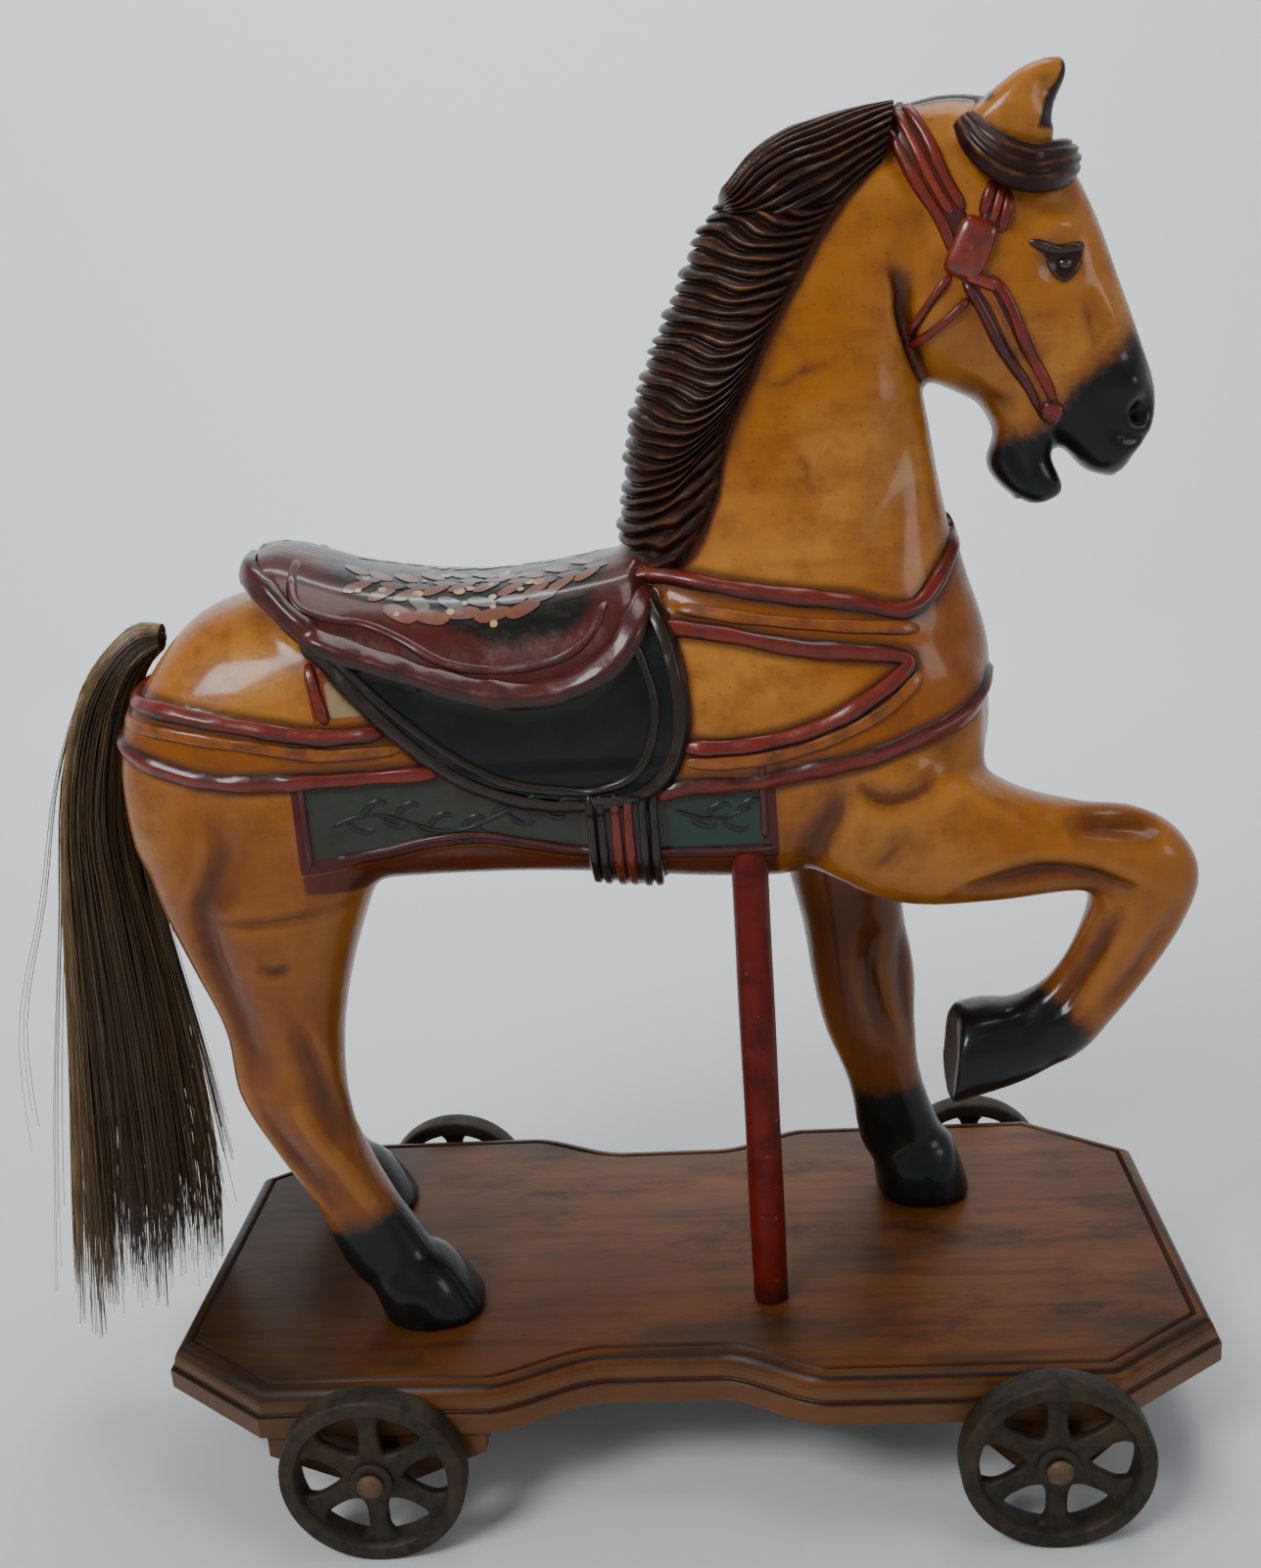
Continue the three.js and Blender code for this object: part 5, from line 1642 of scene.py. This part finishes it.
def axle(end):
    """A rod with a domed head beyond each hub."""
    reach = AXLE_REACH
    head = [(5.4, reach), (5.4, reach + 0.6), (4.4, reach + 1.8), (2.4, reach + 2.8), (0.02, reach + 3)]
    profile = [(radius, -y) for radius, y in head[::-1]] + [(4.0, -reach), (4.0, reach)] + head
    rings = turned(profile, 32) + [AXLE_X[end], 0, AXLE_HEIGHT]
    ends = np.array([rings[0].mean(axis=0), rings[-1].mean(axis=0)])
    points, faces = capped(rings, ends)
    item = add_object(f"iron_axle_{end}", (points, flipped(faces)))
    item.data.set_sharp_from_angle(angle=SHARP_AXLE)
    finish_piece(item, brass_iron, "wheel_iron", f"axle_{end}")


def iron_material(name, colour, rust, dark):
    graph = Graph(name, Metallic=0.55)
    mottled = graph.noise(140, 5, 0.68)
    rough_cast = graph.noise(600, 4, 0.7)
    broad = graph.noise(40, 3)
    base = graph.layers(
        colour,
        (graph.step(mottled, 0.42, 0.68), dark),
        (graph.step(broad, 0.45, 0.7, 0.7), rust),
    )
    relief = graph.bump(rough_cast, 0.5, 0.0003, graph.bump(mottled, 0.3, 0.0008))
    return graph.surface(Base_Color=base, Roughness=graph.between(mottled, 0.48, 0.75), Normal=relief)


iron = iron_material("cast_iron", (0.04, 0.031, 0.021), (0.06, 0.032, 0.014), (0.018, 0.015, 0.012))
brass_iron = iron_material("worn_axle", (0.16, 0.1, 0.05), (0.1, 0.05, 0.025), (0.05, 0.034, 0.022))
for end in ("front", "rear"):
    axle(end)
    for side, word in SIDES.items():
        wheel(f"wheel_{end}_{word}", AXLE_X[end], side)


# The floor, the light and the camera.
def stage():
    """A pale floor that curves up into a wall all round."""
    radius, bend, height, turns = 3.2, 1.2, 3.6, 96
    level = radius - bend
    rise = np.linspace(0.1, math.pi / 2, 14)
    curve = [(level + bend * math.sin(t), bend - bend * math.cos(t)) for t in rise]
    profile = [(0.01, 0.0), (level, 0.0), *curve, (radius, height)]
    angle = around(turns)
    points = [(r * math.cos(a), r * math.sin(a), z) for r, z in profile for a in angle]
    faces = strip_faces(len(profile), turns)
    faces.append(list(range(turns))[::-1])
    mesh = bpy.data.meshes.new("floor")
    mesh.from_pydata(points, [], flipped(faces))
    mesh.polygons.foreach_set("use_smooth", [len(face) < 5 for face in faces])
    mesh.materials.append(Graph("pale_floor", Base_Color=(0.66, 0.68, 0.7), Roughness=0.9).material)
    floor = linked("floor", mesh)


def area_light(name, place, target, size, power):
    light = bpy.data.lights.new(name, "AREA")
    light.shape = "RECTANGLE"
    light.size, light.size_y = size
    light.energy = power
    item = linked(name, light)
    item.location = place
    item.rotation_euler = (Vector(target) - Vector(place)).to_track_quat("-Z", "Y").to_euler()


def world_light():
    world = bpy.data.worlds.new("studio")
    world.use_nodes = True
    background = world.node_tree.nodes["Background"]
    background.inputs["Color"].default_value = (0.86, 0.93, 1.0, 1)
    background.inputs["Strength"].default_value = 0.17
    bpy.context.scene.world = world


# The camera that took the photograph: its place in millimetres from the platform's middle,
# how far it turns to the left, looks down and leans, and its focal length in pixels of a 1600 pixel frame.
CAMERA_PLACE = (36.2, -631.3, 478.5)
CAMERA_TURN = math.radians(-4.19)
CAMERA_DOWN = math.radians(16.6)
CAMERA_LEAN = math.radians(-4.17)
FOCAL_PIXELS = 1601.1
FRAME_HEIGHT_PIXELS = 1600
SENSOR = 36.0


def camera():
    level = math.cos(CAMERA_DOWN)
    forward = Vector((math.sin(CAMERA_TURN) * level, math.cos(CAMERA_TURN) * level, -math.sin(CAMERA_DOWN)))
    right = Vector((math.cos(CAMERA_TURN), -math.sin(CAMERA_TURN), 0))
    up = right.cross(forward)
    c, s = math.cos(CAMERA_LEAN), math.sin(CAMERA_LEAN)
    right, up = c * right + s * up, -s * right + c * up
    lens = bpy.data.cameras.new("camera")
    lens.sensor_width = SENSOR
    lens.sensor_fit = "AUTO"
    lens.lens = SENSOR * FOCAL_PIXELS / FRAME_HEIGHT_PIXELS
    lens.clip_start = 0.02
    item = linked("camera", lens)
    matrix = Matrix((right, up, -forward)).transposed().to_4x4()
    matrix.translation = Vector(in_frame([CAMERA_PLACE])[0])
    item.matrix_world = matrix
    bpy.context.scene.camera = item


stage()
world_light()
area_light("window", (-1.0, -1.3, 1.8), (0.03, 0, 0.25), (0.8, 0.7), 31)
area_light("overhead", (0.3, 0.1, 2.1), (0.03, 0, 0.2), (1.0, 0.8), 11)
area_light("right_fill", (1.6, -0.9, 0.9), (0.05, 0, 0.3), (0.6, 0.6), 4)
area_light("wall_wash", (-0.2, 1.0, 2.4), (-0.3, 3.2, 0.9), (1.6, 0.8), 85)
camera()
